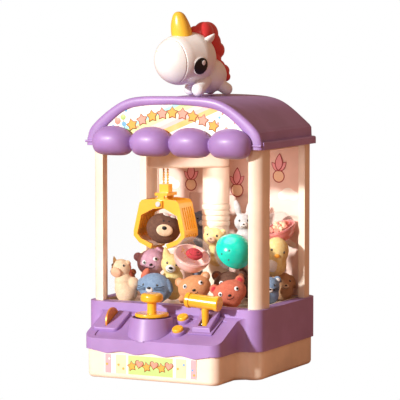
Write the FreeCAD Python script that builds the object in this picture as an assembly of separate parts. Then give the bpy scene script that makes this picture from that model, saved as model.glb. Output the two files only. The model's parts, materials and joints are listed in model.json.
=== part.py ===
import FreeCAD, Part
import math
import os
from FreeCAD import Matrix, Placement, Rotation, Vector

# Toy claw crane machine, in millimetres.  +Z is up, the player stands on the -Y side, and the
# origin is on the table under the centre of the whole toy.

# Overall plan
FRONT_Y = -107.2          # front of the control deck
BACK_Y = 107.2            # back of the lower housing
BAND_HALF = 110.0         # half width of the lower housing behind the deck
BAND_FRONT_Y = -53.0      # where the deck meets the housing under the window
BAND_R = 16.0
DECK_HALF = 84.7
DECK_R = 12.0
COVE_R = 9.0              # inside corner between deck and housing
WALL = 2.5

# Heights
FOOT_H = 3.5
BASE_BOTTOM = 1.5
BASE_TOP = 34.0
LEDGE_Z = 80.6            # top of the lower housing, where the pillars stand
FLOOR_Z = 76.0            # top of the prize floor
EAVE_Z = 258.6            # underside of the roof
LIP_TOP = 267.0
DECK_Z_FRONT = 46.5       # height of the deck at its front edge
DECK_SLOPE = 0.46
DECK_ANGLE = math.degrees(math.atan(DECK_SLOPE))

# Window frame
FRAME_HALF = 106.7
FRAME_FRONT_Y = -45.5
FRAME_BACK_Y = 99.9
FRAME_R = 13.0
FRAME_T = 8.0
PILLAR_FRONT_W = 15.2     # width of a pillar seen from the front
PILLAR_SIDE_W = 24.0      # width of a pillar seen from the side
PANE_T = 1.5

# Roof
ROOF_FRONT_Y = -46.5
ROOF_BACK_Y = 102.0
ROOF_T = 3.0
LIP_HALF = 111.0
TRIM_FRONT_Y = -52.0

# Rear door
DOOR_HALF = 55.0
DOOR_Z = (99.0, 201.0)
DOORWAY_HALF = 50.0
DOORWAY_Z = (104.0, 196.0)
DOOR_HINGE = (-57.4, 97.3)
DOOR_HINGE_R = 1.7

# Controls: centres on the deck
STICK = (-11.3, -79.5)
STICK_PIVOT_Z = 64.0
HAMMER_X = 52.0
HAMMER_Y = -73.0
HAMMER_PIVOT_Z = 64.8
HAMMER_HEAD_X = 49.5
HAMMER_HEAD_Z = 90.0
BUTTONS = {"button_upper": (20.5, -64.0), "button_lower": (25.5, -86.5)}
BUTTON_R = 6.4
BUTTON_TRAVEL = 1.8
COIN = (-65.0, -73.0, 62.3)
COIN_R = 15.0
COIN_T = 2.0

# Crane
COLUMN = (6.0, 49.5)
COLUMN_R = 15.5
SLEEVE_Z = (163.5, 188.5)
SHAFT_R = 8.9
RUN_FIT = 0.06            # radial clearance of every shaft that turns
ARM_Z = (231.0, 248.0, 252.0)
ARM_REACH = 65.0
CLAW = (-40.5, 12.5)
CLAW_PIVOT_Z = 190.0
CLAW_HALF_DEPTH = 19.0
JAW_PLATE = 2.8
JAW_GAP = 0.3
PIN_R = 1.5
CHAIN_SPREAD = 2.6
CHAIN_R = 1.2
DRUM_R = 5.0
DRUM_Z = 241.0


# ---------------------------------------------------------------- shape helpers
def box(x0, x1, y0, y1, z0, z1):
    """A block between two corners."""
    return Part.makeBox(x1 - x0, y1 - y0, z1 - z0, Vector(x0, y0, z0))


def rod(radius, start, end):
    """A round bar between two points."""
    a = Vector(*start)
    b = Vector(*end)
    return Part.makeCylinder(radius, (b - a).Length, a, b - a)


def taper(r0, r1, start, end):
    """A round bar whose radius changes from one end to the other."""
    a = Vector(*start)
    b = Vector(*end)
    return Part.makeCone(r0, r1, (b - a).Length, a, b - a)


def ball(centre, radius, poles=(0, 0, 1)):
    """A ball about a point, with its poles turned away from the places where it meets others."""
    return Part.makeSphere(radius, Vector(*centre), Vector(*poles))


def rounded_rod(radius, start, end):
    """A round bar with ball ends."""
    return rod(radius, start, end).fuse(ball(start, radius)).fuse(ball(end, radius))


def ellipsoid(centre, radii):
    """A ball stretched to three radii."""
    shape = Part.makeSphere(1.0)
    stretch = Matrix()
    stretch.scale(Vector(*radii))
    shape = shape.transformGeometry(stretch)
    shape.translate(Vector(*centre))
    return shape


def rounded_wire(corners, z):
    """A closed level outline whose corners (x, y, radius) are rounded, taken anticlockwise."""
    starts = []
    mids = []
    ends = []
    count = len(corners)
    for i, (x, y, radius) in enumerate(corners):
        here = Vector(x, y, z)
        before = Vector(corners[i - 1][0], corners[i - 1][1], z)
        after = Vector(corners[(i + 1) % count][0], corners[(i + 1) % count][1], z)
        u = (here - before).normalize()
        v = (after - here).normalize()
        half_turn = u.getAngle(v) / 2
        reach = radius * math.tan(half_turn)
        inward = (v - u).normalize()
        centre = here + inward * (radius / math.cos(half_turn))
        starts.append(here - u * reach)
        mids.append(centre - inward * radius)
        ends.append(here + v * reach)
    edges = []
    for i in range(count):
        edges.append(Part.Arc(starts[i], mids[i], ends[i]).toShape())
        following = starts[(i + 1) % count]
        if (following - ends[i]).Length > 1e-6:
            edges.append(Part.LineSegment(ends[i], following).toShape())
    return Part.Wire(edges)


def prism(wire, height):
    """A level outline raised by a height."""
    return Part.Face(wire).extrude(Vector(0, 0, height))


def rounded_block(half, y0, y1, radius, z0, z1):
    """A block centred on X with rounded upright edges."""
    corners = [(-half, y0, radius), (half, y0, radius), (half, y1, radius), (-half, y1, radius)]
    return prism(rounded_wire(corners, z0), z1 - z0)


def footprint(inset, z0, z1):
    """The plan of the base and lower housing, deck included, drawn in by an inset."""
    deck = DECK_HALF - inset
    band = BAND_HALF - inset
    corners = [
        (-deck, FRONT_Y + inset, DECK_R),
        (deck, FRONT_Y + inset, DECK_R),
        (deck, BAND_FRONT_Y + inset, COVE_R),
        (band, BAND_FRONT_Y + inset, BAND_R),
        (band, BACK_Y - inset, BAND_R),
        (-band, BACK_Y - inset, BAND_R),
        (-band, BAND_FRONT_Y + inset, BAND_R),
        (-deck, BAND_FRONT_Y + inset, COVE_R),
    ]
    return prism(rounded_wire(corners, z0), z1 - z0)


def side_profile(points, x0, x1):
    """A closed polygon in the YZ plane, drawn out along X."""
    wire = Part.makePolygon([Vector(x0, y, z) for y, z in points + points[:1]])
    return Part.Face(wire).extrude(Vector(x1 - x0, 0, 0))


def front_profile(points, y0, y1):
    """A closed polygon in the XZ plane, drawn out along Y."""
    wire = Part.makePolygon([Vector(x, y0, z) for x, z in points + points[:1]])
    return Part.Face(wire).extrude(Vector(0, y1 - y0, 0))


def smooth_edge(points, y):
    """A smooth curve through points (x, z) at one depth."""
    curve = Part.BSplineCurve()
    curve.interpolate([Vector(x, y, z) for x, z in points])
    return curve.toShape()


def mirrored(half_points):
    """A left-to-right list of points from the right half of a symmetric arch, crown last."""
    left = [(-x, z) for x, z in half_points[:-1]]
    return left + [half_points[-1]] + half_points[-2::-1]


def fuse(*shapes):
    """One solid from several that touch."""
    return shapes[0].multiFuse(list(shapes[1:])).removeSplitter()


def fillet(shape, radius, wanted):
    """Rounds the edges whose middle point passes a test."""
    edges = [edge for edge in shape.Edges if wanted(edge.BoundBox.Center, edge.BoundBox)]
    return shape.makeFillet(radius, edges)


def deck_z(y):
    """Height of the sloping deck at a depth."""
    return DECK_Z_FRONT + DECK_SLOPE * (y - FRONT_Y)


def on_deck(shape, x, y):
    """Lays a shape drawn about the origin onto the sloping deck."""
    placed = shape.copy()
    tilt = Rotation(Vector(1, 0, 0), DECK_ANGLE)
    placed.Placement = Placement(Vector(x, y, deck_z(y)), tilt)
    return placed


def above_deck():
    """The space over the sloping deck, in front of the window."""
    y0 = FRONT_Y - 20
    points = [(y0, deck_z(y0)), (BAND_FRONT_Y, deck_z(BAND_FRONT_Y)), (BAND_FRONT_Y, 120), (y0, 120)]
    return side_profile(points, -130, 130)


def below_deck(depth):
    """The space under a plane a little below the sloping deck."""
    y0 = FRONT_Y - 20
    y1 = BAND_FRONT_Y + 10
    points = [(y0, 0), (y1, 0), (y1, deck_z(y1) - depth), (y0, deck_z(y0) - depth)]
    return side_profile(points, -130, 130)


def export(name, shape):
    """Writes one sub-part."""
    shape.exportStep(os.path.join("parts", name + ".step"))


# ---------------------------------------------------------------- base
SCREW_PLACES = [(-88.0, 88.0), (88.0, 88.0), (-72.0, -92.0), (72.0, -92.0), (-92.0, -32.0), (92.0, -32.0)]
FOOT_PLACES = [(-78.0, 80.0), (78.0, 80.0), (-66.0, -84.0), (66.0, -84.0)]
SCREW_R = 1.4
BATTERY_BAY = (-38.0, 38.0, 10.0, 70.0)


def base_tray():
    """Cream skirt of the base, with screw posts inside and a rounded foot edge."""
    skirt = footprint(2.0, BASE_BOTTOM, BASE_TOP)
    skirt = fillet(skirt, 5.0, lambda c, b: b.ZMax < BASE_BOTTOM + 0.1)
    skirt = skirt.cut(footprint(2.0 + WALL, BASE_BOTTOM - 1, BASE_TOP + 1))
    posts = []
    for x, y in SCREW_PLACES:
        post = rod(4.5, (x, y, 6.2), (x, y, 30.0))
        rib_end = x + math.copysign(22.0, x)
        post = post.fuse(box(min(x, rib_end), max(x, rib_end), y - 1, y + 1, 6.2, 28.0))
        posts.append(post)
    inside = footprint(2.0 + WALL / 2, 0, BASE_TOP)
    tray = skirt
    for post in posts:
        tray = tray.fuse(post.common(inside))
    for x, y in SCREW_PLACES:
        tray = tray.cut(rod(SCREW_R + 0.05, (x, y, 5), (x, y, 18)))
    return tray.removeSplitter()


def bottom_plate():
    """Floor plate with a battery bay, feet pockets and screw holes."""
    plate = footprint(2.0 + WALL + 0.2, FOOT_H, FOOT_H + WALL)
    x0, x1, y0, y1 = BATTERY_BAY
    tub = box(x0, x1, y0, y1, FOOT_H, 24.0)
    hollow = box(x0 + 2, x1 - 2, y0 + 2, y1 - 2, FOOT_H - 1, 22.0)
    plate = plate.fuse(tub).cut(hollow)
    plate = plate.cut(box(x0 - 0.01, x1 + 0.01, y0 - 6, y1 + 6, FOOT_H - 0.1, FOOT_H + 1.0))
    for x, y in SCREW_PLACES:
        plate = plate.cut(rod(SCREW_R + 0.3, (x, y, 0), (x, y, 10)))
    return plate.removeSplitter()


def battery_cover():
    """Flush lid of the battery bay."""
    x0, x1, y0, y1 = BATTERY_BAY
    lid = box(x0 + 0.2, x1 - 0.2, y0 - 5.8, y1 + 5.8, FOOT_H - 0.6, FOOT_H + 0.9)
    for y in (y0 + 12, y1 - 12):
        lid = lid.cut(box(-12, 12, y - 1, y + 1, 0, FOOT_H - 0.2))
    return lid


def batteries():
    """Three AA cells lying side by side."""
    cells = []
    for x in (-22.0, 0.0, 22.0):
        cell = rod(7.1, (x, 15.0, 12.9), (x, 63.0, 12.9))
        cells.append(cell.fuse(rod(2.6, (x, 63.0, 12.9), (x, 64.6, 12.9))))
    return Part.makeCompound(cells)


def rubber_feet():
    """Four round pads."""
    return Part.makeCompound([rod(7.0, (x, y, 0), (x, y, FOOT_H)) for x, y in FOOT_PLACES])


def base_screws():
    """Screws that hold the floor plate to the skirt."""
    screws = []
    for x, y in SCREW_PLACES:
        head = rod(2.8, (x, y, FOOT_H - 1.6), (x, y, FOOT_H))
        screw = head.fuse(rod(SCREW_R, (x, y, FOOT_H), (x, y, 16.0)))
        screws.append(screw.cut(box(x - 2.2, x + 2.2, y - 0.4, y + 0.4, 0, FOOT_H - 0.9)))
    return Part.makeCompound(screws)


def front_label():
    """Printed plate on the front of the base."""
    half = 57.0
    points = [(-half, 8.0), (half, 8.0), (half, 30.0), (-half, 30.0)]
    plate = front_profile(points, FRONT_Y + 1.2, FRONT_Y + 2.0)
    return plate


def circuit_board():
    """Board behind the controls, on two stand-offs."""
    board = box(-30, 30, -60, -20, 16.0, 17.6)
    for x in (-25, 25):
        board = board.fuse(rod(2.5, (x, -40, FOOT_H + WALL), (x, -40, 16.0)))
    return board


def speaker():
    """Round speaker lying under the right side of the deck."""
    magnet = rod(9.0, (52, -60, FOOT_H + WALL), (52, -60, 12.0))
    return magnet.fuse(taper(12.0, 19.0, (52, -60, 12.0), (52, -60, 17.0)))


# ---------------------------------------------------------------- lower housing and deck
PAD = (-80.0, -49.0, -93.5, -54.5, 3.0)
BLOCK = (41.0, 63.0, -84.0, -58.0)
PANEL_DEPTH = 1.0
BOSS_TOP = 70.5
BOWL_R = 21.4
BOWL_FLOOR = 65.2


def lower_housing():
    """Purple housing: band under the windows and the sloping deck, in one moulding."""
    body = footprint(0.0, BASE_TOP, LEDGE_Z).cut(above_deck())
    cavity = footprint(WALL, BASE_TOP - 1, LEDGE_Z - WALL)
    lowered = above_deck()
    lowered.translate(Vector(0, WALL, -ROOF_T))
    body = body.cut(cavity.cut(lowered))
    opening = rounded_block(96.5, -35.5, 89.9, 4.0, LEDGE_Z - 20, LEDGE_Z + 1)
    body = body.cut(opening)
    panel = on_deck(box(-73, 73, -24.5, 22.5, -PANEL_DEPTH, 4.0), 0, -80.0)
    body = body.cut(panel.common(rounded_block(73, -104, -57, 6, 30, 90)))
    skirt = deck_skirt()
    body = body.fuse(skirt)
    x, y = STICK
    body = body.cut(rod(BOWL_R, (x, y, 30), (x, y, 80)))
    for bx, by in BUTTONS.values():
        body = body.cut(on_deck(rod(4.0, (0, 0, -12), (0, 0, 8)), bx, by))
    body = body.cut(coin_slot()).cut(hammer_slot())
    return body.removeSplitter()


def deck_skirt():
    """Front lip that hangs over the base with a wavy lower edge."""
    half = DECK_HALF - DECK_R
    waves = 4
    points = []
    for i in range(waves * 4 + 1):
        x = -half + 2 * half * i / (waves * 4)
        points.append((x, BASE_TOP - 2.0 + 1.3 * math.cos(2 * math.pi * i / 4)))
    wave = smooth_edge(points, FRONT_Y)
    y = FRONT_Y
    top = BASE_TOP + 2.0
    corner_a = Vector(half, y, top)
    corner_b = Vector(-half, y, top)
    edges = [
        wave,
        Part.LineSegment(Vector(half, y, points[-1][1]), corner_a).toShape(),
        Part.LineSegment(corner_a, corner_b).toShape(),
        Part.LineSegment(corner_b, Vector(-half, y, points[0][1])).toShape(),
    ]
    return Part.Face(Part.Wire(edges)).extrude(Vector(0, 1.9, 0))


def coin_slot():
    """Narrow slot for a coin on edge, through pad and deck."""
    x, y, z = COIN
    return box(x - 1.3, x + 1.3, y - COIN_R - 0.6, y + COIN_R + 0.6, 30.0, 100.0)


def coin_pad(housing):
    """Raised rounded surround of the coin slot, seated on the housing."""
    x0, x1, y0, y1, height = PAD
    cx = (x0 + x1) / 2
    cy = (y0 + y1) / 2
    half_x = (x1 - x0) / 2
    half_y = (y1 - y0) / 2
    corners = [(-half_x, -half_y, 5), (half_x, -half_y, 5), (half_x, half_y, 5), (-half_x, half_y, 5)]
    pad = prism(rounded_wire(corners, -0.95), height + 0.95)
    pad = fillet(pad, 1.5, lambda c, b: b.ZMin > height - 0.1)
    return on_deck(pad, cx, cy).cut(coin_slot()).cut(housing)


def joystick_boss(housing):
    """Tapered boss with a bowl for the disc and a ring that carries the gimbal."""
    x, y = STICK
    boss = taper(28.5, 23.4, (x, y, 44.0), (x, y, BOSS_TOP))
    boss = fillet(boss, 0.6, lambda c, b: b.ZMin > BOSS_TOP - 0.1)
    boss = boss.cut(rod(BOWL_R, (x, y, BOWL_FLOOR), (x, y, BOSS_TOP + 2)))
    boss = boss.cut(taper(25.0, 22.0, (x, y, 43.0), (x, y, BOWL_FLOOR - 3.7)))
    boss = boss.cut(rod(13.0, (x, y, 43), (x, y, BOSS_TOP + 2)))
    boss = boss.cut(rod(1.25 + RUN_FIT, (x - 16.5, y, STICK_PIVOT_Z), (x + 16.5, y, STICK_PIVOT_Z)))
    under = below_deck(PANEL_DEPTH).cut(rod(BOWL_R, (x, y, 30), (x, y, BOSS_TOP)))
    return boss.cut(under).cut(housing)


def hammer_slot():
    """Slot that the hammer's post swings in, through block and deck."""
    return box(HAMMER_X - 5.2, HAMMER_X + 5.2, HAMMER_Y - 8.2, HAMMER_Y + 8.6, 50.0, 90.0)


def hammer_block(housing):
    """Wedge block with a slot for the hammer's post."""
    x0, x1, y0, y1 = BLOCK
    front_top = 62.5
    rear_top = 79.0
    points = [(y0, 40.0), (y1, 40.0), (y1, rear_top), (y0, front_top)]
    block = side_profile(points, x0, x1)
    block = block.makeFillet(1.6, [edge for edge in block.Edges if edge.BoundBox.ZMin > 60])
    flange = on_deck(box(-14.5, 14.5, -17.5, 17.5, -0.95, 0.8), HAMMER_X, (y0 + y1) / 2)
    block = block.fuse(flange)
    block = block.cut(below_deck(PANEL_DEPTH)).cut(housing)
    block = block.cut(hammer_slot())
    pin = rod(PIN_R + 0.02, (x0 + 2, HAMMER_Y, HAMMER_PIVOT_Z), (x1 - 2, HAMMER_Y, HAMMER_PIVOT_Z))
    return block.cut(pin).removeSplitter()


def button_collar():
    """Short ring round a push button."""
    collar = rod(BUTTON_R + 1.6, (0, 0, 0.05 - PANEL_DEPTH), (0, 0, 3.2))
    collar = fillet(collar, 0.9, lambda c, b: b.ZMin > 3.1)
    return collar.cut(rod(BUTTON_R + 0.25, (0, 0, 0.6), (0, 0, 5))).cut(rod(3.0, (0, 0, -2), (0, 0, 5)))


# ---------------------------------------------------------------- joystick
def gimbal_ring():
    """Ring that tilts on two pins along X and carries the stick's pin along Y."""
    x, y = STICK
    z = STICK_PIVOT_Z
    ring = rod(11.5, (x, y, z - 2), (x, y, z + 2)).cut(rod(8.5, (x, y, z - 3), (x, y, z + 3)))
    ring = ring.cut(rod(1.25 + RUN_FIT, (x, y - 12, z), (x, y + 12, z)))
    for side in (-1, 1):
        ring = ring.fuse(rod(1.25, (x + side * 10.5, y, z), (x + side * 16.0, y, z)))
    return ring


def joystick_stem():
    """Stem from below the pivot up to the knob, with a seat for the disc."""
    x, y = STICK
    z = STICK_PIVOT_Z
    stem = rod(4.4, (x, y, z - 6), (x, y, z + 7))
    stem = stem.fuse(rod(5.3, (x, y, z + 7), (x, y, 88.5)))
    return stem.cut(rod(1.25, (x, y - 6, z), (x, y + 6, z)))


def gimbal_pin():
    """Cross pin through the stem."""
    x, y = STICK
    return rod(1.25, (x, y - 11.2, STICK_PIVOT_Z), (x, y + 11.2, STICK_PIVOT_Z))


def joystick_disc():
    """Round dust disc that rides on the stem."""
    x, y = STICK
    disc = rod(19.0, (x, y, 71.0), (x, y, 75.0))
    disc = fillet(disc, 1.3, lambda c, b: b.ZMin > 74.9 or b.ZMax < 71.1)
    return disc.cut(rod(5.3, (x, y, 70), (x, y, 76)))


def joystick_knob():
    """Mushroom knob."""
    x, y = STICK
    knob = rod(12.6, (x, y, 87.4), (x, y, 97.2))
    knob = fillet(knob, 4.0, lambda c, b: b.ZMin > 97)
    knob = fillet(knob, 3.0, lambda c, b: b.ZMax < 87.5)
    return knob.cut(rod(5.3, (x, y, 86), (x, y, 88.5)))


# ---------------------------------------------------------------- hammer lever
def hammer_head():
    """Barrel with two wider caps, lying across the lever."""
    half = 20.6
    barrel = rod(7.8, (-half + 2, 0, 0), (half - 2, 0, 0))
    for side in (-1, 1):
        cap = rod(8.7, (side * (half - 5.2), 0, 0), (side * half, 0, 0))
        rim = side * half
        cap = fillet(cap, 1.8, lambda c, b: abs(c.x - rim) < 0.2)
        barrel = barrel.fuse(cap)
    barrel.rotate(Vector(0, 0, 0), Vector(0, 1, 0), 4.0)
    barrel.translate(Vector(HAMMER_HEAD_X, HAMMER_Y, HAMMER_HEAD_Z))
    socket = rod(4.0, (HAMMER_X, HAMMER_Y, 60), (HAMMER_X, HAMMER_Y, HAMMER_HEAD_Z - 2))
    return barrel.removeSplitter().cut(socket)


def hammer_post():
    """Tapered post from the pivot up into the head."""
    low = HAMMER_PIVOT_Z - 3.4
    post = taper(3.4, 4.4, (HAMMER_X, HAMMER_Y, low), (HAMMER_X, HAMMER_Y, 81.5))
    post = post.fuse(rod(4.0, (HAMMER_X, HAMMER_Y, 81), (HAMMER_X, HAMMER_Y, HAMMER_HEAD_Z - 2)))
    post = post.cut(hammer_head())
    z = HAMMER_PIVOT_Z
    hole = rod(PIN_R + RUN_FIT, (HAMMER_X - 9, HAMMER_Y, z), (HAMMER_X + 9, HAMMER_Y, z))
    return post.cut(hole)


def hammer_pin():
    """Steel pin that the post turns on."""
    return rod(PIN_R, (BLOCK[0] + 2.2, HAMMER_Y, HAMMER_PIVOT_Z), (BLOCK[1] - 2.2, HAMMER_Y, HAMMER_PIVOT_Z))


# ---------------------------------------------------------------- buttons and coin
def button():
    """Domed push button with a guide stem."""
    cap = rod(BUTTON_R, (0, 0, 2.6), (0, 0, 6.4))
    cap = fillet(cap, 1.6, lambda c, b: b.ZMin > 6.3)
    return cap.fuse(rod(2.4, (0, 0, -9.0), (0, 0, 2.6))).removeSplitter()


def coin():
    """Game coin standing in the slot."""
    x, y, z = COIN
    token = rod(COIN_R, (x - COIN_T / 2, y, z), (x + COIN_T / 2, y, z))
    for side in (-1, 1):
        face = x + side * COIN_T / 2
        token = token.cut(rod(COIN_R - 2.5, (face - side * 0.4, y, z), (face + side * 0.4, y, z)))
    return token


# ---------------------------------------------------------------- window frame
def frame_ring(inset, z0, z1):
    """The window frame's plan drawn in by an inset."""
    half = FRAME_HALF - inset
    radius = max(FRAME_R - inset, 3.0)
    return rounded_block(half, FRAME_FRONT_Y + inset, FRAME_BACK_Y - inset, radius, z0, z1)


def pillar(side, front):
    """One corner pillar, an angle section with a rounded outer corner."""
    ring = frame_ring(0, LEDGE_Z, EAVE_Z).cut(frame_ring(FRAME_T, LEDGE_Z - 1, EAVE_Z + 1))
    x_in = FRAME_HALF - PILLAR_FRONT_W
    x0, x1 = sorted((side * x_in, side * (FRAME_HALF + 1)))
    if front:
        y0, y1 = FRAME_FRONT_Y - 1, FRAME_FRONT_Y + PILLAR_SIDE_W
    else:
        y0, y1 = FRAME_BACK_Y - PILLAR_SIDE_W, FRAME_BACK_Y + 1
    corner = ring.common(box(x0, x1, y0, y1, LEDGE_Z - 2, EAVE_Z + 2))
    return corner


def window_front():
    """Clear front pane."""
    half = FRAME_HALF - PILLAR_FRONT_W - 0.1
    y = FRAME_FRONT_Y + FRAME_T - 2.2
    return box(-half, half, y, y + PANE_T, LEDGE_Z, EAVE_Z)


def window_side(side):
    """Clear side pane."""
    x = side * (FRAME_HALF - FRAME_T + 0.6)
    x0, x1 = sorted((x, x + side * PANE_T))
    y0 = FRAME_FRONT_Y + PILLAR_SIDE_W + 0.1
    y1 = FRAME_BACK_Y - PILLAR_SIDE_W - 0.1
    return box(x0, x1, y0, y1, LEDGE_Z, EAVE_Z)


PANEL_Y = (93.0, 95.5)


def rear_panel():
    """Printed rear wall with a doorway and two hinge lugs."""
    half = FRAME_HALF - PILLAR_FRONT_W - 0.1
    panel = box(-half, half, PANEL_Y[0], PANEL_Y[1], LEDGE_Z, EAVE_Z)
    panel = panel.cut(box(-DOORWAY_HALF, DOORWAY_HALF, 90, 99, DOORWAY_Z[0], DOORWAY_Z[1]))
    hx, hy = DOOR_HINGE
    for z in (118.0, 176.0):
        lug = rod(DOOR_HINGE_R, (hx, hy, z), (hx, hy, z + 6))
        lug = lug.fuse(box(hx - DOOR_HINGE_R, hx, PANEL_Y[1] - 0.5, hy, z, z + 6))
        panel = panel.fuse(lug)
    panel = panel.cut(rod(0.9, (hx, hy, 100), (hx, hy, 200)))
    return panel.removeSplitter()


def rear_door():
    """Loading door with two hinge knuckles that carry their own pins."""
    y0 = PANEL_Y[1] + 0.4
    y1 = y0 + 2.4
    door = box(-DOOR_HALF, DOOR_HALF, y0, y1, DOOR_Z[0], DOOR_Z[1])
    hx, hy = DOOR_HINGE
    for z in (124.3, 182.3):
        knuckle = rod(DOOR_HINGE_R, (hx, hy, z), (hx, hy, z + 8))
        knuckle = knuckle.fuse(box(hx, -DOOR_HALF + 1, y0 + 0.2, y1, z, z + 8))
        knuckle = knuckle.fuse(rod(0.9 - RUN_FIT, (hx, hy, z - 5.5), (hx, hy, z + 1)))
        door = door.fuse(knuckle)
    return door.removeSplitter()


def door_knob():
    """Small pull on the loading door."""
    y = PANEL_Y[1] + 2.8
    return rod(4.0, (46, y, 150), (46, y + 3.4, 150)).fuse(rod(5.5, (46, y + 3.4, 150), (46, y + 5.6, 150)))


def prize_floor():
    """Tray under the prizes, let into the housing's opening."""
    tray = rounded_block(96.3, -35.3, 89.7, 4.0, FLOOR_Z - 2, LEDGE_Z)
    tray = tray.cut(rounded_block(94.3, -33.3, 87.7, 2.0, FLOOR_Z, LEDGE_Z + 1))
    return tray


# ---------------------------------------------------------------- roof
ROOF_HALF = [(100.7, 280.3), (86.1, 292.6), (64.2, 307.0), (31.0, 312.8), (0.0, 313.4)]
TRIM_OUTER = [(104.3, 279.5), (85.7, 296.2), (63.6, 309.7), (41.5, 315.0), (0.0, 316.4)]
TRIM_INNER = [(88.0, 281.9), (63.6, 299.3), (38.0, 305.0), (0.0, 306.8)]
ROOF_SIDE = [(104.1, EAVE_Z), (103.2, 277.0)]


def arch_face(side_points, arch_points, y):
    """A face bounded by upright sides, a level bottom and a smooth arch."""
    crown = smooth_edge(mirrored(arch_points), y)
    right = [Vector(x, y, z) for x, z in side_points + arch_points[:1]]
    left = [Vector(-x, y, z) for x, z in side_points + arch_points[:1]]
    edges = [crown]
    for line in (right, left):
        for a, b in zip(line, line[1:]):
            edges.append(Part.LineSegment(a, b).toShape())
    edges.append(Part.LineSegment(left[0], right[0]).toShape())
    return Part.Face(Part.Wire(Part.__sortEdges__(edges)))


def roof_shell():
    """Arched roof with an eave lip, hollow underneath."""
    outer = arch_face(ROOF_SIDE, ROOF_HALF, ROOF_FRONT_Y).extrude(Vector(0, ROOF_BACK_Y - ROOF_FRONT_Y, 0))
    lip = rounded_block(LIP_HALF, ROOF_FRONT_Y, ROOF_BACK_Y + 2.5, 9.0, EAVE_Z, LIP_TOP)
    lip = fillet(lip, 2.0, lambda c, b: b.ZMin > LIP_TOP - 0.1 and b.YMax > ROOF_FRONT_Y + 1)
    lip = lip.fuse(rounded_block(LIP_HALF, ROOF_FRONT_Y, ROOF_FRONT_Y + 14, 0.5, EAVE_Z, LIP_TOP))
    shrink = 1 - ROOF_T / ROOF_SIDE[0][0]
    side = [(ROOF_SIDE[0][0] * shrink, EAVE_Z - 1), (ROOF_SIDE[1][0] * shrink, ROOF_SIDE[1][1] - ROOF_T)]
    arch = [(x * shrink, z - ROOF_T) for x, z in ROOF_HALF]
    depth = ROOF_BACK_Y - ROOF_FRONT_Y - 2 * ROOF_T
    inner = arch_face(side, arch, ROOF_FRONT_Y + ROOF_T).extrude(Vector(0, depth, 0))
    return outer.fuse(lip).cut(inner).removeSplitter()


def arch_trim():
    """Rounded band that frames the sign."""
    outer = arch_face([(110.0, EAVE_Z), (109.0, 268.0)], TRIM_OUTER, TRIM_FRONT_Y)
    inner = arch_face([(95.0, EAVE_Z - 1), (94.0, 272.0)], TRIM_INNER, TRIM_FRONT_Y - 1)
    depth = ROOF_FRONT_Y - TRIM_FRONT_Y
    return outer.extrude(Vector(0, depth, 0)).cut(inner.extrude(Vector(0, depth + 2, 0)))


def sign_panel():
    """Printed panel inside the arched trim."""
    side = [(94.8, EAVE_Z), (93.8, 272.0)]
    arch = [(x - 0.2 if x else 0.0, z - 0.25) for x, z in TRIM_INNER]
    return arch_face(side, arch, ROOF_FRONT_Y - 2.0).extrude(Vector(0, 2.0, 0))


AWNING_LOBES = [-73.5, -24.5, 24.5, 73.5]
AWNING_PITCH = 49.0
AWNING_Z = (249.0, 281.0)


def awning():
    """Scalloped awning of four puffed lobes, hollow underneath."""
    lobes = []
    back = TRIM_FRONT_Y - 0.2
    for x in AWNING_LOBES:
        lobe = ellipsoid((x, back, AWNING_Z[0] + 5), (27.0, 21.3, 27.0))
        hollow = ellipsoid((x, back, AWNING_Z[0] + 4), (24.6, 19.0, 24.6))
        gore = box(x - AWNING_PITCH / 2, x + AWNING_PITCH / 2, back - 40, back, AWNING_Z[0], AWNING_Z[1] + 5)
        lobes.append(lobe.common(gore).cut(hollow))
    return fuse(*lobes)


def ceiling_plate():
    """Plate under the roof that carries the top of the mast."""
    plate = rounded_block(98.4, -37.2, 91.6, 6.0, EAVE_Z - 3, EAVE_Z - 0.2)
    x, y = COLUMN
    return plate.cut(rod(4.0 + RUN_FIT, (x, y, 250), (x, y, 262)))


# ---------------------------------------------------------------- unicorn on the roof
UNICORN = (-8.0, 34.0)
UNICORN_TURN = -22.0
SIDEWAYS = (0.8, 0.35, 0.25)


def unicorn_pose(shape):
    """Turns a shape drawn facing the front and sets it on the roof."""
    shape.rotate(Vector(0, 0, 0), Vector(0, 0, 1), UNICORN_TURN)
    shape.translate(Vector(UNICORN[0], UNICORN[1], 0))
    return shape


def unicorn_figure():
    """White figure lying on the roof: head, muzzle, body and four legs."""
    figure = ball((0, -14, 357), 30.0, SIDEWAYS).fuse(ball((0, -31, 355.2), 28.6))
    figure = figure.fuse(rounded_rod(20.0, (0, 18, 334), (0, 44, 334)))
    for side in (-1, 1):
        figure = figure.fuse(rounded_rod(9.0, (side * 17, -12, 322.8), (side * 17, 8, 322.8)))
        figure = figure.fuse(rounded_rod(9.0, (side * 20, 40, 322.8), (side * 20, 54, 322.8)))
    return figure


def unicorn_horn():
    """Short tapered horn."""
    horn = taper(12.0, 2.5, (0, -26, 377), (0, -32, 410.2))
    return horn.cut(ball((0, -14, 357), 30.0, SIDEWAYS)).cut(ball((0, -31, 355.2), 28.6))


def unicorn_mane():
    """Mane over the back of the head."""
    crest = Part.makeTorus(28.0, 9.0, Vector(3, -10, 358), Vector(1, 0, 0))
    crest = crest.common(box(-20, 30, -10, 60, 340, 400))
    return crest.cut(unicorn_figure())


# ---------------------------------------------------------------- crane
def column_base():
    """Fixed column from the prize floor, with the ribbed sleeve at its top."""
    x, y = COLUMN
    column = rod(COLUMN_R, (x, y, FLOOR_Z), (x, y, SLEEVE_Z[1]))
    ribs = 4
    for i in range(ribs):
        z = SLEEVE_Z[0] + i * (SLEEVE_Z[1] - SLEEVE_Z[0]) / ribs
        column = column.fuse(rod(COLUMN_R + 0.9, (x, y, z), (x, y, z + 4.2)))
    return column.cut(rod(SHAFT_R + RUN_FIT, (x, y, 120), (x, y, 200)))


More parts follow.
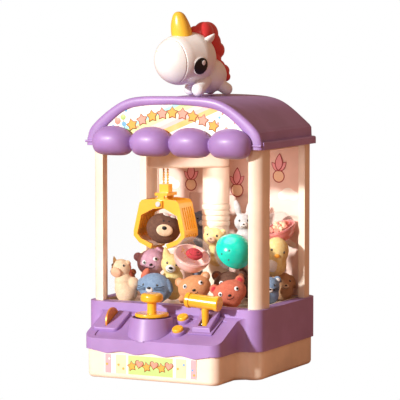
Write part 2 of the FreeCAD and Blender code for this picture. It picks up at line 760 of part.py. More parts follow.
def mast():
    """Turning mast with a shaft in the column and a pin in the ceiling."""
    x, y = COLUMN
    shape = rod(COLUMN_R, (x, y, SLEEVE_Z[1] + 0.3), (x, y, ARM_Z[0]))
    shape = shape.fuse(rod(SHAFT_R, (x, y, 124), (x, y, SLEEVE_Z[1] + 1)))
    shape = shape.fuse(rod(4.0, (x, y, ARM_Z[0]), (x, y, EAVE_Z + 2)))
    return shape.removeSplitter()


def arm_line(distance):
    """A point on the arm's centre line at a distance from the column."""
    dx = CLAW[0] - COLUMN[0]
    dy = CLAW[1] - COLUMN[1]
    length = math.hypot(dx, dy)
    return COLUMN[0] + dx / length * distance, COLUMN[1] + dy / length * distance


def arm_block(radius, z0, z1, reach):
    """A long rounded block from the column out along the arm."""
    x0, y0 = COLUMN
    x1, y1 = arm_line(reach)
    ux, uy = (x1 - x0) / reach, (y1 - y0) / reach
    bar = Part.makeBox(reach, 2 * radius, z1 - z0)
    bar.translate(Vector(0, -radius, 0))
    bar.rotate(Vector(0, 0, 0), Vector(0, 0, 1), math.degrees(math.atan2(uy, ux)))
    bar.translate(Vector(x0, y0, z0))
    return fuse(bar, rod(radius, (x0, y0, z0), (x0, y0, z1)), rod(radius, (x1, y1, z0), (x1, y1, z1)))


def arm_housing():
    """Hollow arm, open at the top, with a hole for the chains."""
    x, y = COLUMN
    housing = arm_block(COLUMN_R, ARM_Z[0], ARM_Z[1], ARM_REACH)
    housing = fillet(housing, 3.0, lambda c, b: b.ZMax < ARM_Z[0] + 0.1)
    housing = housing.cut(arm_block(COLUMN_R - 2.2, ARM_Z[0] + 2.2, ARM_Z[1] + 1, ARM_REACH))
    housing = housing.cut(rod(7.0, (CLAW[0], CLAW[1], 230), (CLAW[0], CLAW[1], 240)))
    return housing.cut(rod(4.0, (x, y, 230), (x, y, 240)))


def arm_lid():
    """Cover of the arm."""
    x, y = COLUMN
    lid = arm_block(COLUMN_R, ARM_Z[1], ARM_Z[2], ARM_REACH)
    return lid.cut(rod(4.0, (x, y, 240), (x, y, 260)))


def drum_axis():
    """Unit vector along the winch drum, across the arm."""
    dx = CLAW[0] - COLUMN[0]
    dy = CLAW[1] - COLUMN[1]
    length = math.hypot(dx, dy)
    return -dy / length, dx / length


def winch_drum():
    """Drum that the chains wind on, with two flanges."""
    ux, uy = drum_axis()
    x, y = CLAW

    def at(distance):
        return x + ux * distance, y + uy * distance, DRUM_Z

    drum = rod(DRUM_R, at(-7), at(7))
    for side in (-1, 1):
        drum = drum.fuse(rod(DRUM_R + 1.2, at(side * 7), at(side * 8.2)))
        drum = drum.fuse(rod(1.5, at(side * 8), at(side * 11.0)))
    return drum


def winch_motor():
    """Motor inside the arm."""
    x, y = arm_line(28)
    return rod(7.0, (x, y, ARM_Z[0] + 2.2), (x, y, ARM_Z[1] - 1))


def chains():
    """Space taken by the two hanging ball chains."""
    x, y = CLAW
    links = [rod(CHAIN_R, (x + s * CHAIN_SPREAD, y, 212.2), (x + s * CHAIN_SPREAD, y, 235.6)) for s in (-1, 1)]
    return Part.makeCompound(links)


# ---------------------------------------------------------------- claw
JAW_OUTLINE = [(5.0, 197.0), (21.0, 194.5), (24.5, 191.0), (32.0, 158.5), (32.0, 152.5), (25.0, 145.0), (10.0, 138.6)]
JAW_SHELL = 2.6
JAW_RIM = 5.4


def jaw_band(thickness, first):
    """The jaw's outline in the XZ plane, thickened inwards, on the right side of the claw."""
    outer = JAW_OUTLINE[first:]
    wire = Part.makePolygon([Vector(x, 0, z) for x, z in outer])
    inner = []
    for i, (x, z) in enumerate(outer):
        a = outer[max(i - 1, 0)]
        b = outer[min(i + 1, len(outer) - 1)]
        dx, dz = b[0] - a[0], b[1] - a[1]
        length = math.hypot(dx, dz)
        inner.append((x + dz / length * thickness, z - dx / length * thickness))
    points = outer + inner[::-1]
    wire = Part.makePolygon([Vector(x, 0, z) for x, z in points + points[:1]])
    return Part.Face(wire)


def jaw():
    """Right jaw: two rims, a slotted shell between them and two ears on the pivot."""
    depth = CLAW_HALF_DEPTH
    rear = depth
    front = -depth + JAW_PLATE + JAW_GAP
    shell = jaw_band(JAW_SHELL, 1).extrude(Vector(0, rear - front, 0))
    shell.translate(Vector(0, front, 0))
    slots = []
    for i in range(5):
        y = front + 5.5 + i * 5.4
        slots.append(box(20, 40, y, y + 2.8, 160.5, 186.0))
        slots.append(box(27, 40, y, y + 2.8, 149.0, 155.0))
    for slot in slots:
        shell = shell.cut(slot)
    shape = shell
    for y in (front, rear - JAW_PLATE):
        rim = jaw_band(JAW_RIM, 1).extrude(Vector(0, JAW_PLATE, 0))
        rim.translate(Vector(0, y, 0))
        ear = front_profile([(-4.0, 186.0), (4.0, 184.5), (24.0, 186.5), (21.0, 194.4), (4.5, 196.0), (-4.0, 194.0)], y, y + JAW_PLATE)
        web = front_profile([(4.0, 186.0), (22.0, 186.0), (26.0, 176.0), (21.5, 177.0)], y, y + JAW_PLATE)
        shape = shape.fuse(rim).fuse(ear).fuse(web)
    shape = shape.cut(rod(PIN_R + RUN_FIT, (0, -30, CLAW_PIVOT_Z), (0, 30, CLAW_PIVOT_Z)))
    return shape.removeSplitter()


def place_jaw(side):
    """Sets a jaw on the claw's axis; the left one is the right one turned half round."""
    shape = jaw()
    if side < 0:
        shape.rotate(Vector(0, 0, 0), Vector(0, 0, 1), 180)
    shape.translate(Vector(CLAW[0], CLAW[1], 0))
    return shape


def claw_crown():
    """Bracket that the chains hold and the jaws hang from."""
    x, y = CLAW
    crown = box(x - 8, x + 8, y - 12.6, y + 12.6, 199.0, 202.5)
    crown = crown.fuse(box(x - 6, x + 6, y - 5, y + 5, 202.5, 212.0))
    for y0 in (y - 12.6, y + 9.8):
        crown = crown.fuse(box(x - 4, x + 4, y0, y0 + 2.8, 186.0, 199.0))
    return crown.cut(rod(PIN_R, (x, y - 30, CLAW_PIVOT_Z), (x, y + 30, CLAW_PIVOT_Z))).removeSplitter()


def claw_pins():
    """Front and rear pivot pins with domed heads."""
    x, y = CLAW
    pins = []
    for side in (-1, 1):
        near = y + side * 9.8
        far = y + side * (CLAW_HALF_DEPTH + 0.3)
        pin = rod(PIN_R, (x, near, CLAW_PIVOT_Z), (x, far, CLAW_PIVOT_Z))
        pins.append(pin.fuse(rod(3.0, (x, far, CLAW_PIVOT_Z), (x, far + side * 1.4, CLAW_PIVOT_Z))))
    return Part.makeCompound(pins)


def held_bear():
    """Bear held between the jaws."""
    x, y = CLAW
    return ellipsoid((x, y, 160.5), (19.2, 14.0, 17.3))


# ---------------------------------------------------------------- prizes
# Each soft prize is a row of balls: (x, y, z, radius)
BEARS = [
    [(-86.5, -2.0, 100.0, 10.5), (-85.0, -2.0, 87.2, 10.0)],
    [(-64.0, 21.0, 119.5, 13.5), (-64.0, 22.0, 98.0, 13.5), (-64.0, 22.0, 90.0, 13.5)],
    [(7.5, -18.5, 96.5, 12.5), (19.5, -18.5, 96.5, 12.5), (13.6, -17.5, 88.0, 11.5)],
    [(52.5, -18.5, 95.0, 12.5), (64.5, -18.5, 95.0, 12.5), (58.5, -17.5, 88.0, 11.5)],
    [(38.0, 17.0, 96.0, 19.5)],
]
ANIMALS = [
    [(-82.0, -23.5, 113.5, 10.0), (-77.0, -24.5, 100.0, 9.0), (-74.0, -25.0, 88.5, 11.5)],
    [(-45.5, -17.0, 94.0, 15.0), (-33.5, -17.0, 94.5, 15.5)],
    [(-34.0, 11.5, 120.5, 11.5), (-34.0, 17.0, 103.0, 12.5), (-34.0, 18.0, 89.0, 12.5)],
    [(18.5, 19.0, 153.0, 9.5), (19.0, 22.0, 138.0, 9.0), (19.0, 24.0, 127.0, 9.0)],
    [(37.0, 58.5, 167.0, 10.5), (39.0, 60.0, 149.0, 12.5)],
    [(-23.0, 72.5, 166.0, 11.5), (-23.0, 73.0, 146.0, 12.5), (-23.0, 73.0, 125.0, 12.5),
     (-23.0, 73.0, 104.0, 12.5), (-23.0, 73.0, 89.0, 12.5)],
    [(79.5, 50.0, 135.5, 13.0), (80.0, 50.0, 121.0, 14.5)],
    [(82.0, 31.0, 96.0, 12.0), (82.0, 31.0, 88.5, 12.0)],
    [(80.5, 73.5, 96.0, 12.5), (80.5, 73.5, 89.0, 12.5)],
    [(46.0, 64.0, 117.0, 17.5), (46.0, 64.0, 94.5, 18.0)],
]
# Two-part prize capsules: centre, radius and the direction in which the lid looks
CAPSULES = [
    ((6.5, -13.5, 134.6), 21.0, (0.42, -0.30, 0.86)),
    ((52.0, -1.5, 138.6), 21.2, (-0.90, 0.08, -0.42)),
    ((77.0, 69.5, 162.5), 18.6, (-0.2, -0.35, 0.91)),
]
CAPSULE_WALL = 1.4


def soft_prize(balls):
    """One soft prize as a plain closed solid."""
    shape = ball(balls[0][:3], balls[0][3])
    for place in balls[1:]:
        shape = shape.fuse(ball(place[:3], place[3]))
    return shape


def capsule_half(centre, radius, direction, lid):
    """One half shell of a capsule; the lid's half is on the direction's side."""
    shell = Part.makeSphere(radius).cut(Part.makeSphere(radius - CAPSULE_WALL))
    gap = 0.1
    half = Part.makeCylinder(radius + 2, radius + 2, Vector(0, 0, gap if lid else -radius - 2 - gap))
    shape = shell.common(half)
    turn = Rotation(Vector(0, 0, 1), Vector(*direction))
    shape.Placement = Placement(Vector(*centre), turn)
    return shape


# ---------------------------------------------------------------- write everything
def main():
    """Builds and writes every sub-part."""
    os.makedirs("parts", exist_ok=True)
    export("base_tray", base_tray())
    export("bottom_plate", bottom_plate())
    export("battery_cover", battery_cover())
    export("batteries", batteries())
    export("rubber_feet", rubber_feet())
    export("base_screws", base_screws())
    export("front_label", front_label())
    export("circuit_board", circuit_board())
    export("speaker", speaker())
    housing = lower_housing()
    export("lower_housing", housing)
    export("coin_pad", coin_pad(housing))
    export("joystick_boss", joystick_boss(housing))
    export("hammer_block", hammer_block(housing))
    collars = [on_deck(button_collar(), x, y).cut(housing) for x, y in BUTTONS.values()]
    export("button_collars", Part.makeCompound(collars))
    export("gimbal_ring", gimbal_ring())
    export("joystick_stem", joystick_stem())
    export("gimbal_pin", gimbal_pin())
    export("joystick_disc", joystick_disc())
    export("joystick_knob", joystick_knob())
    export("hammer_head", hammer_head())
    export("hammer_post", hammer_post())
    export("hammer_pin", hammer_pin())
    for name, (x, y) in BUTTONS.items():
        export(name, on_deck(button(), x, y))
    export("coin", coin())
    for side, label in ((-1, "left"), (1, "right")):
        export("pillar_front_" + label, pillar(side, True))
        export("pillar_rear_" + label, pillar(side, False))
        export("window_" + label, window_side(side))
        export("jaw_" + label, place_jaw(side))
    export("window_front", window_front())
    export("rear_panel", rear_panel())
    export("rear_door", rear_door())
    export("door_knob", door_knob())
    export("prize_floor", prize_floor())
    export("roof_shell", roof_shell())
    export("arch_trim", arch_trim())
    export("sign_panel", sign_panel())
    export("awning", awning())
    export("ceiling_plate", ceiling_plate())
    export("unicorn_figure", unicorn_pose(unicorn_figure()))
    export("unicorn_horn", unicorn_pose(unicorn_horn()))
    export("unicorn_mane", unicorn_pose(unicorn_mane()))
    export("column_base", column_base())
    export("mast", mast())
    export("arm_housing", arm_housing())
    export("arm_lid", arm_lid())
    export("winch_drum", winch_drum())
    export("winch_motor", winch_motor())
    export("chains", chains())
    export("claw_crown", claw_crown())
    export("claw_pins", claw_pins())
    export("held_bear", held_bear())
    export("prize_bears", Part.makeCompound([soft_prize(balls) for balls in BEARS]))
    export("prize_animals", Part.makeCompound([soft_prize(balls) for balls in ANIMALS]))
    export("capsule_cups", Part.makeCompound([capsule_half(*capsule, False) for capsule in CAPSULES]))
    export("capsule_lids", Part.makeCompound([capsule_half(*capsule, True) for capsule in CAPSULES]))


main()
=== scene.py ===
import json
import logging
import math
import random
from dataclasses import dataclass
from enum import Enum
from typing import Iterable, Optional, Sequence, Union

import bmesh
import bpy
import numpy as np
from mathutils import Euler, Matrix, Vector, noise


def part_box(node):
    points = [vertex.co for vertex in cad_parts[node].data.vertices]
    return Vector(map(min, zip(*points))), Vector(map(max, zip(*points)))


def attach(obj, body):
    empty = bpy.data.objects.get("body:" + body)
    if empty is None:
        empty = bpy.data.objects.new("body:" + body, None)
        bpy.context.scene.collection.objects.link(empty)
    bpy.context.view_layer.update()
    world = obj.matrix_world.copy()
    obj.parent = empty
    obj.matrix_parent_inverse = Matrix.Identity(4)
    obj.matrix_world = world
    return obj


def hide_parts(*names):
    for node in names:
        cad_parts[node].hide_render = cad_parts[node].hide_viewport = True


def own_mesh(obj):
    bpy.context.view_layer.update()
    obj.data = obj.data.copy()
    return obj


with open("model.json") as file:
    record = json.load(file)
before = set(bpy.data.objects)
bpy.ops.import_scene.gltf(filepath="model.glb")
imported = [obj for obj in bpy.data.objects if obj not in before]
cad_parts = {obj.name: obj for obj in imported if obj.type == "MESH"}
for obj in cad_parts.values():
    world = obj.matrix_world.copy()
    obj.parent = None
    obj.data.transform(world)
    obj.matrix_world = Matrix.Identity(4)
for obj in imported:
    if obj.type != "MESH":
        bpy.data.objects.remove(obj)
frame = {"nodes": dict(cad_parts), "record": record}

# Looks of a toy claw crane machine.  Lengths in the classes are millimetres; MM turns them into
# the frame's metres.  +Z is up and the player stands on the -Y side.

MM = 0.001
LOG = logging.getLogger("claw_machine")
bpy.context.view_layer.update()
Point = Sequence[float]
Outline = Sequence[tuple[float, float]]
Faces = list[Sequence[int]]
MIDDLE = (0.0, 0.0, 0.0)
UP = Vector((0.0, 0.0, 1.0))
SIDES = (-1, 1)


def turned(degrees: float, axis: str) -> Matrix:
    """A turn about one axis.

    Args:
        degrees: how far.
        axis: X, Y or Z.

    Returns:
        The turn.
    """
    return Matrix.Rotation(math.radians(degrees), 4, axis)


def moved(x: float, y: float, z: float) -> Matrix:
    """A move along the three axes.

    Args:
        x: to the right.
        y: to the back.
        z: up.

    Returns:
        The move.
    """
    return Matrix.Translation((x, y, z))


def lined_up(way: Vector) -> Matrix:
    """A turn that lays Z along a direction.

    Args:
        way: the direction.

    Returns:
        The turn.
    """
    return UP.rotation_difference(way).to_matrix().to_4x4()


# ------------------------------------------------------------------------------ shader maths
class Socket:
    """A value inside a material, with arithmetic that adds Math nodes."""

    def __init__(self, shade: "Shade", link: bpy.types.NodeSocket) -> None:
        """Wraps a node's output.

        Args:
            shade: the material that the output belongs to.
            link: the output itself.
        """
        self.shade = shade
        self.link = link

    def _math(self, operation: str, *values: "Number") -> "Socket":
        """Adds a Math node.

        Args:
            operation: the node's operation.
            values: its inputs in order.

        Returns:
            The node's result.
        """
        return self.shade.node("ShaderNodeMath", {"operation": operation}, dict(enumerate(values))).out()

    def __add__(self, other: "Number") -> "Socket":
        """Sum."""
        return self._math("ADD", self, other)

    def __radd__(self, other: "Number") -> "Socket":
        """Sum with the number first."""
        return self._math("ADD", other, self)

    def __sub__(self, other: "Number") -> "Socket":
        """Difference."""
        return self._math("SUBTRACT", self, other)

    def __rsub__(self, other: "Number") -> "Socket":
        """Difference with the number first."""
        return self._math("SUBTRACT", other, self)

    def __mul__(self, other: "Number") -> "Socket":
        """Product."""
        return self._math("MULTIPLY", self, other)

    def __rmul__(self, other: "Number") -> "Socket":
        """Product with the number first."""
        return self._math("MULTIPLY", other, self)

    def __truediv__(self, other: "Number") -> "Socket":
        """Quotient."""
        return self._math("DIVIDE", self, other)

    def __rtruediv__(self, other: "Number") -> "Socket":
        """Quotient with the number first."""
        return self._math("DIVIDE", other, self)

    def __pow__(self, other: "Number") -> "Socket":
        """Power."""
        return self._math("POWER", self, other)

    def between(self, low: float, high: float) -> "Socket":
        """Ramps smoothly from 0 at low to 1 at high.

        Args:
            low: where the ramp starts.
            high: where it ends.

        Returns:
            The ramped value.
        """
        made = self.shade.node(
            "ShaderNodeMapRange", {"interpolation_type": "SMOOTHSTEP"}, {
                0: self, 1: low, 2: high, 3: 0.0, 4: 1.0
            }
        )
        return made.out()


Number = Union[Socket, float, int]


class Made:
    """A node just added to a material."""

    def __init__(self, shade: "Shade", node: bpy.types.Node) -> None:
        """Keeps the node with its material.

        Args:
            shade: the material.
            node: the new node.
        """
        self.shade = shade
        self.raw = node

    def out(self, which: Union[int, str] = 0) -> Socket:
        """One of the node's outputs.

        Args:
            which: the output's number or name.

        Returns:
            The wrapped output.
        """
        return Socket(self.shade, self.raw.outputs[which])


class Shade:
    """One node material under construction."""

    def __init__(self, name: str) -> None:
        """Starts a material with a Principled shader.

        Args:
            name: the material's name.
        """
        self.material = bpy.data.materials.new(name)
        self.material.use_nodes = True
        self.tree = self.material.node_tree
        self.tree.nodes.clear()
        self.output = self.tree.nodes.new("ShaderNodeOutputMaterial")
        self.surface = self.tree.nodes.new("ShaderNodeBsdfPrincipled")
        self.tree.links.new(self.surface.outputs[0], self.output.inputs[0])

    def node(self, kind: str, settings: dict[str, object], inputs: dict[Union[int, str], object]) -> Made:
        """Adds any node.

        Args:
            kind: the node's type.
            settings: attributes that are set first; "stops" sets a colour ramp.
            inputs: values or links of its sockets.

        Returns:
            The new node.
        """
        raw = self.tree.nodes.new(kind)
        for key, value in settings.items():
            if key == "stops":
                self._stops(raw.color_ramp, value)
            elif key == "steps":
                raw.color_ramp.interpolation = "CONSTANT"
            else:
                setattr(raw, key, value)
        for key, value in inputs.items():
            self._feed(raw.inputs[key], value)
        return Made(self, raw)

    def _stops(self, ramp: bpy.types.ColorRamp, stops: Sequence[tuple[float, Point]]) -> None:
        """Sets a colour ramp's stops.

        Args:
            ramp: the ramp.
            stops: places and colours, in order.
        """
        while len(ramp.elements) > 1:
            ramp.elements.remove(ramp.elements[-1])
        ramp.elements[0].position = stops[0][0]
        ramp.elements[0].color = (*stops[0][1], 1.0)
        for place, colour in stops[1:]:
            ramp.elements.new(place).color = (*colour, 1.0)

    def _feed(self, socket: bpy.types.NodeSocket, value: object) -> None:
        """Links or sets one input.

        Args:
            socket: the input.
            value: a wrapped output, a number or a colour.
        """
        if isinstance(value, Socket):
            self.tree.links.new(value.link, socket)
        elif isinstance(value, (tuple, list)) and len(value) == 3 and socket.type == "RGBA":
            socket.default_value = (*value, 1.0)
        else:
            socket.default_value = value

    def place(self) -> Made:
        """The piece's own coordinates, in metres."""
        return self.node("ShaderNodeTexCoord", {}, {})

    def noise(self, size_mm: float, detail: float = 3.0, roughness: float = 0.55) -> Socket:
        """Soft noise.

        Args:
            size_mm: about how wide its patches are.
            detail: how many finer layers it has.
            roughness: how strong they are.

        Returns:
            A value about 0.5.
        """
        where = self.place().out("Object")
        inputs = {"Vector": where, "Scale": 1000.0 / size_mm, "Detail": detail, "Roughness": roughness}
        return self.node("ShaderNodeTexNoise", {}, inputs).out(0)

    def axis(self, which: str) -> Socket:
        """One coordinate of the piece, in millimetres.

        Args:
            which: X, Y or Z.

        Returns:
            The coordinate.
        """
        where = self.place().out("Object")
        return self.node("ShaderNodeSeparateXYZ", {}, {0: where}).out(which) * 1000.0

    def mix(self, factor: Number, low: object, high: object, blend: str = "MIX") -> Socket:
        """Mixes two colours.

        Args:
            factor: 0 gives low, 1 gives high.
            low: a colour.
            high: a colour.
            blend: how they are mixed.

        Returns:
            The mixed colour.
        """
        inputs = {0: factor, 6: low, 7: high}
        return self.node("ShaderNodeMix", {"data_type": "RGBA", "blend_type": blend}, inputs).out(2)

    def soft_edges(self, radius_mm: float) -> Socket:
        """A normal that rounds sharp edges.

        Args:
            radius_mm: the edge radius.

        Returns:
            The rounded normal.
        """
        return self.node("ShaderNodeBevel", {"samples": 4}, {"Radius": radius_mm * MM}).out()

    def edge_mask(self, rounded: Socket) -> Socket:
        """1 along sharp edges and 0 on flat ground.

        Args:
            rounded: the rounded normal.

        Returns:
            The mask.
        """
        true = self.node("ShaderNodeNewGeometry", {}, {}).out("True Normal")
        dot = self.node(
            "ShaderNodeVectorMath", {"operation": "DOT_PRODUCT"}, {0: rounded, 1: true}
        ).out("Value")
        return (1.0 - dot).between(0.02, 0.25)

    def bump(
        self, height: Socket, depth_mm: float, strength: float = 1.0, normal: Optional[Socket] = None
    ) -> Socket:
        """A bumped normal.

        Args:
            height: the height pattern.
            depth_mm: how far it stands up.
            strength: how much of it shows.
            normal: the normal that it starts from.

        Returns:
            The normal.
        """
        inputs: dict[Union[int, str], object] = {
            "Height": height, "Distance": depth_mm * MM, "Strength": strength
        }
        if normal is not None:
            inputs["Normal"] = normal
        return self.node("ShaderNodeBump", {}, inputs).out()

    def dress(self, **values: object) -> bpy.types.Material:
        """Feeds the Principled shader.

        Args:
            values: its inputs, with underscores for spaces.

        Returns:
            The finished material.
        """
        for key, value in values.items():
            self._feed(self.surface.inputs[key.replace("_", " ")], value)
        return self.material


def srgb(code: str) -> tuple[float, float, float]:
    """Linear colour of a six-digit code.

    Args:
        code: two hexadecimal digits each of red, green and blue.

    Returns:
        The linear colour.
    """
    parts = [int(code[i : i + 2], 16) / 255 for i in (0, 2, 4)]
    return tuple(c / 12.92 if c <= 0.04045 else ((c + 0.055) / 1.055) ** 2.4 for c in parts)


# ------------------------------------------------------------------------------ finishes
@dataclass(frozen=True)
class Moulded:
    """Injection-moulded plastic with faint flow marks, fine grain and rubbed edges."""

    name: str
    colour: str
    roughness: float = 0.34
    coat: float = 0.25
    edge_mm: float = 0.7
    glow: float = 0.12

    def build(self) -> bpy.types.Material:
        """Returns the material."""
        shade = Shade(self.name)
        base = srgb(self.colour)
        deeper = tuple(c * 0.86 for c in base)
        lighter = tuple(min(1.0, c * 1.08 + 0.03) for c in base)
        flow = shade.noise(46.0, 3.0)
        grain = shade.noise(0.7, 2.0)
        rounded = shade.soft_edges(self.edge_mm)
        tint = shade.mix(flow.between(0.35, 0.7), deeper, base)
        tint = shade.mix(shade.edge_mask(rounded) * 0.45, tint, lighter)
        scuff = shade.noise(9.0, 6.0, 0.7).between(0.52, 0.75)
        rough = self.roughness + scuff * 0.10 + grain * 0.04
        normal = shade.bump(grain + shade.noise(14.0, 1.0) * 2.0, 0.035, 0.5, rounded)
        shade.surface.inputs["Coat Roughness"].default_value = 0.18
        shade.surface.inputs["Subsurface Weight"].default_value = self.glow
        shade.surface.inputs["Subsurface Scale"].default_value = 2.5 * MM
        shade.surface.inputs["Subsurface Radius"].default_value = (1.0, 0.6, 0.5)
        return shade.dress(Base_Color=tint, Roughness=rough, Coat_Weight=self.coat, Normal=normal)


@dataclass(frozen=True)
class Plush:
    """Short-pile plush with clumped fibres and a soft bloom."""

    name: str
    colour: str
    patch: str
    pile_mm: float = 0.5

    def build(self) -> bpy.types.Material:
        """Returns the material."""
        shade = Shade(self.name)
        base = srgb(self.colour)
        dark = tuple(c * 0.62 for c in base)
        fibre = shade.noise(self.pile_mm, 4.0, 0.75)
        clump = shade.noise(3.4, 3.0, 0.6)
        tint = shade.mix(clump.between(0.3, 0.75), srgb(self.patch), base)
        tint = shade.mix(1.0 - fibre.between(0.3, 0.62), tint, dark)
        normal = shade.bump(fibre + clump * 0.8, 0.42, 0.9)
        shade.surface.inputs["Sheen Weight"].default_value = 0.55
        shade.surface.inputs["Sheen Roughness"].default_value = 0.4
        shade.surface.inputs["Sheen Tint"].default_value = (*srgb(self.colour), 1.0)
        return shade.dress(Base_Color=tint, Roughness=0.86 + fibre * 0.12, Normal=normal)


@dataclass(frozen=True)
class ClearSheet:
    """Thin clear plastic that is mostly seen by its gloss, with faint rub marks."""

    name: str
    tint: str = "fdfdfd"
    body: float = 0.004
    gloss: float = 0.22
    film: float = 0.03

    def build(self) -> bpy.types.Material:
        """Returns the material."""
        shade = Shade(self.name)
        rub = shade.noise(22.0, 5.0, 0.65).between(0.45, 0.8)
        haze = shade.noise(2.0, 3.0).between(0.5, 0.9)
        facing = shade.node("ShaderNodeLayerWeight", {}, {"Blend": 0.5}).out("Facing") ** 3.0
        clear = shade.node("ShaderNodeBsdfTransparent", {}, {"Color": srgb(self.tint)})
        weight = self.body + facing * self.gloss + rub * 0.006
        inputs = {0: weight, 1: clear.out(), 2: Socket(shade, shade.surface.outputs[0])}
        both = shade.node("ShaderNodeMixShader", {}, inputs)
        shade.tree.links.new(both.raw.outputs[0], shade.output.inputs[0])
        normal = shade.bump(haze, 0.01, 0.3)
        film = shade.mix(rub, (self.film,) * 3, (self.film + 0.07,) * 3)
        return shade.dress(Base_Color=film, Roughness=0.05 + rub * 0.10, Normal=normal)


@dataclass(frozen=True)
class Plated:
    """Bright metal or metal-look plastic with a brushed grain."""

    name: str
    colour: str
    metallic: float = 1.0
    roughness: float = 0.25
    grain_mm: float = 0.4

    def build(self) -> bpy.types.Material:
        """Returns the material."""
        shade = Shade(self.name)
        base = srgb(self.colour)
        worn = shade.noise(5.0, 5.0, 0.7)
        grain = shade.noise(self.grain_mm, 3.0)
        rounded = shade.soft_edges(0.3)
        tint = shade.mix(worn.between(0.4, 0.75), base, tuple(c * 0.7 for c in base))
        normal = shade.bump(grain, 0.03, 0.6, rounded)
        rough = self.roughness + worn * 0.15
        return shade.dress(Base_Color=tint, Metallic=self.metallic, Roughness=rough, Normal=normal)


@dataclass(frozen=True)
class Card:
    """Printed card: flat ink over fine paper tooth, in one colour."""

    name: str
    colour: str
    roughness: float = 0.42

    def build(self) -> bpy.types.Material:
        """Returns the material."""
        shade = Shade(self.name)
        base = srgb(self.colour)
        tooth = shade.noise(0.35, 3.0, 0.6)
        wash = shade.noise(12.0, 4.0)
        tint = shade.mix(wash.between(0.35, 0.7), tuple(c * 0.93 for c in base), base)
        normal = shade.bump(tooth, 0.015, 0.5)
        return shade.dress(Base_Color=tint, Roughness=self.roughness + tooth * 0.12, Normal=normal)


@dataclass(frozen=True)
class Rainbow:
    """Sign print: pastel stripes that run up to the right over cream."""

    name: str = "sign_print"
    rise_deg: float = 23.0
    start_mm: float = -286.0
    width_mm: float = 36.0

    def build(self) -> bpy.types.Material:
        """Returns the material."""
        shade = Shade(self.name)
        angle = math.radians(self.rise_deg)
        across = shade.axis("X") * math.sin(angle) - shade.axis("Z") * math.cos(angle)
        along = (across - self.start_mm) / self.width_mm
        cream = srgb("fff8ee")
        stops = [
            (0.0, cream),
            (0.10, srgb("9fe0dc")),
            (0.20, srgb("c5df8b")),
            (0.32, srgb("f4eaa0")),
            (0.42, srgb("fbd7c6")),
            (0.56, srgb("f8b9b4")),
            (0.68, srgb("f9b45c")),
            (0.86, cream),
        ]
        bands = shade.node("ShaderNodeValToRGB", {"stops": stops, "steps": True}, {0: along}).out()
        tooth = shade.noise(0.35, 3.0)
        washed = shade.mix(shade.noise(16.0).between(0.3, 0.7) * 0.12, bands, cream)
        return shade.dress(
            Base_Color=washed, Roughness=0.36 + tooth * 0.1, Normal=shade.bump(tooth, 0.012, 0.4)
        )


@dataclass(frozen=True)
class Shell:
    """Glossy capsule plastic that lets a little light through."""

    name: str
    colour: str
    roughness: float = 0.2

    def build(self) -> bpy.types.Material:
        """Returns the material."""
        shade = Shade(self.name)
        base = srgb(self.colour)
        cloud = shade.noise(13.0, 3.0)
        scratch = shade.noise(1.6, 5.0, 0.75).between(0.55, 0.8)
        tint = shade.mix(cloud.between(0.35, 0.7), tuple(c * 0.88 for c in base), base)
        shade.surface.inputs["Subsurface Weight"].default_value = 0.2
        shade.surface.inputs["Subsurface Scale"].default_value = 3.0 * MM
        normal = shade.bump(cloud, 0.05, 0.4, shade.soft_edges(0.4))
        rough = self.roughness + scratch * 0.14
        return shade.dress(Base_Color=tint, Roughness=rough, Coat_Weight=0.4, Normal=normal)


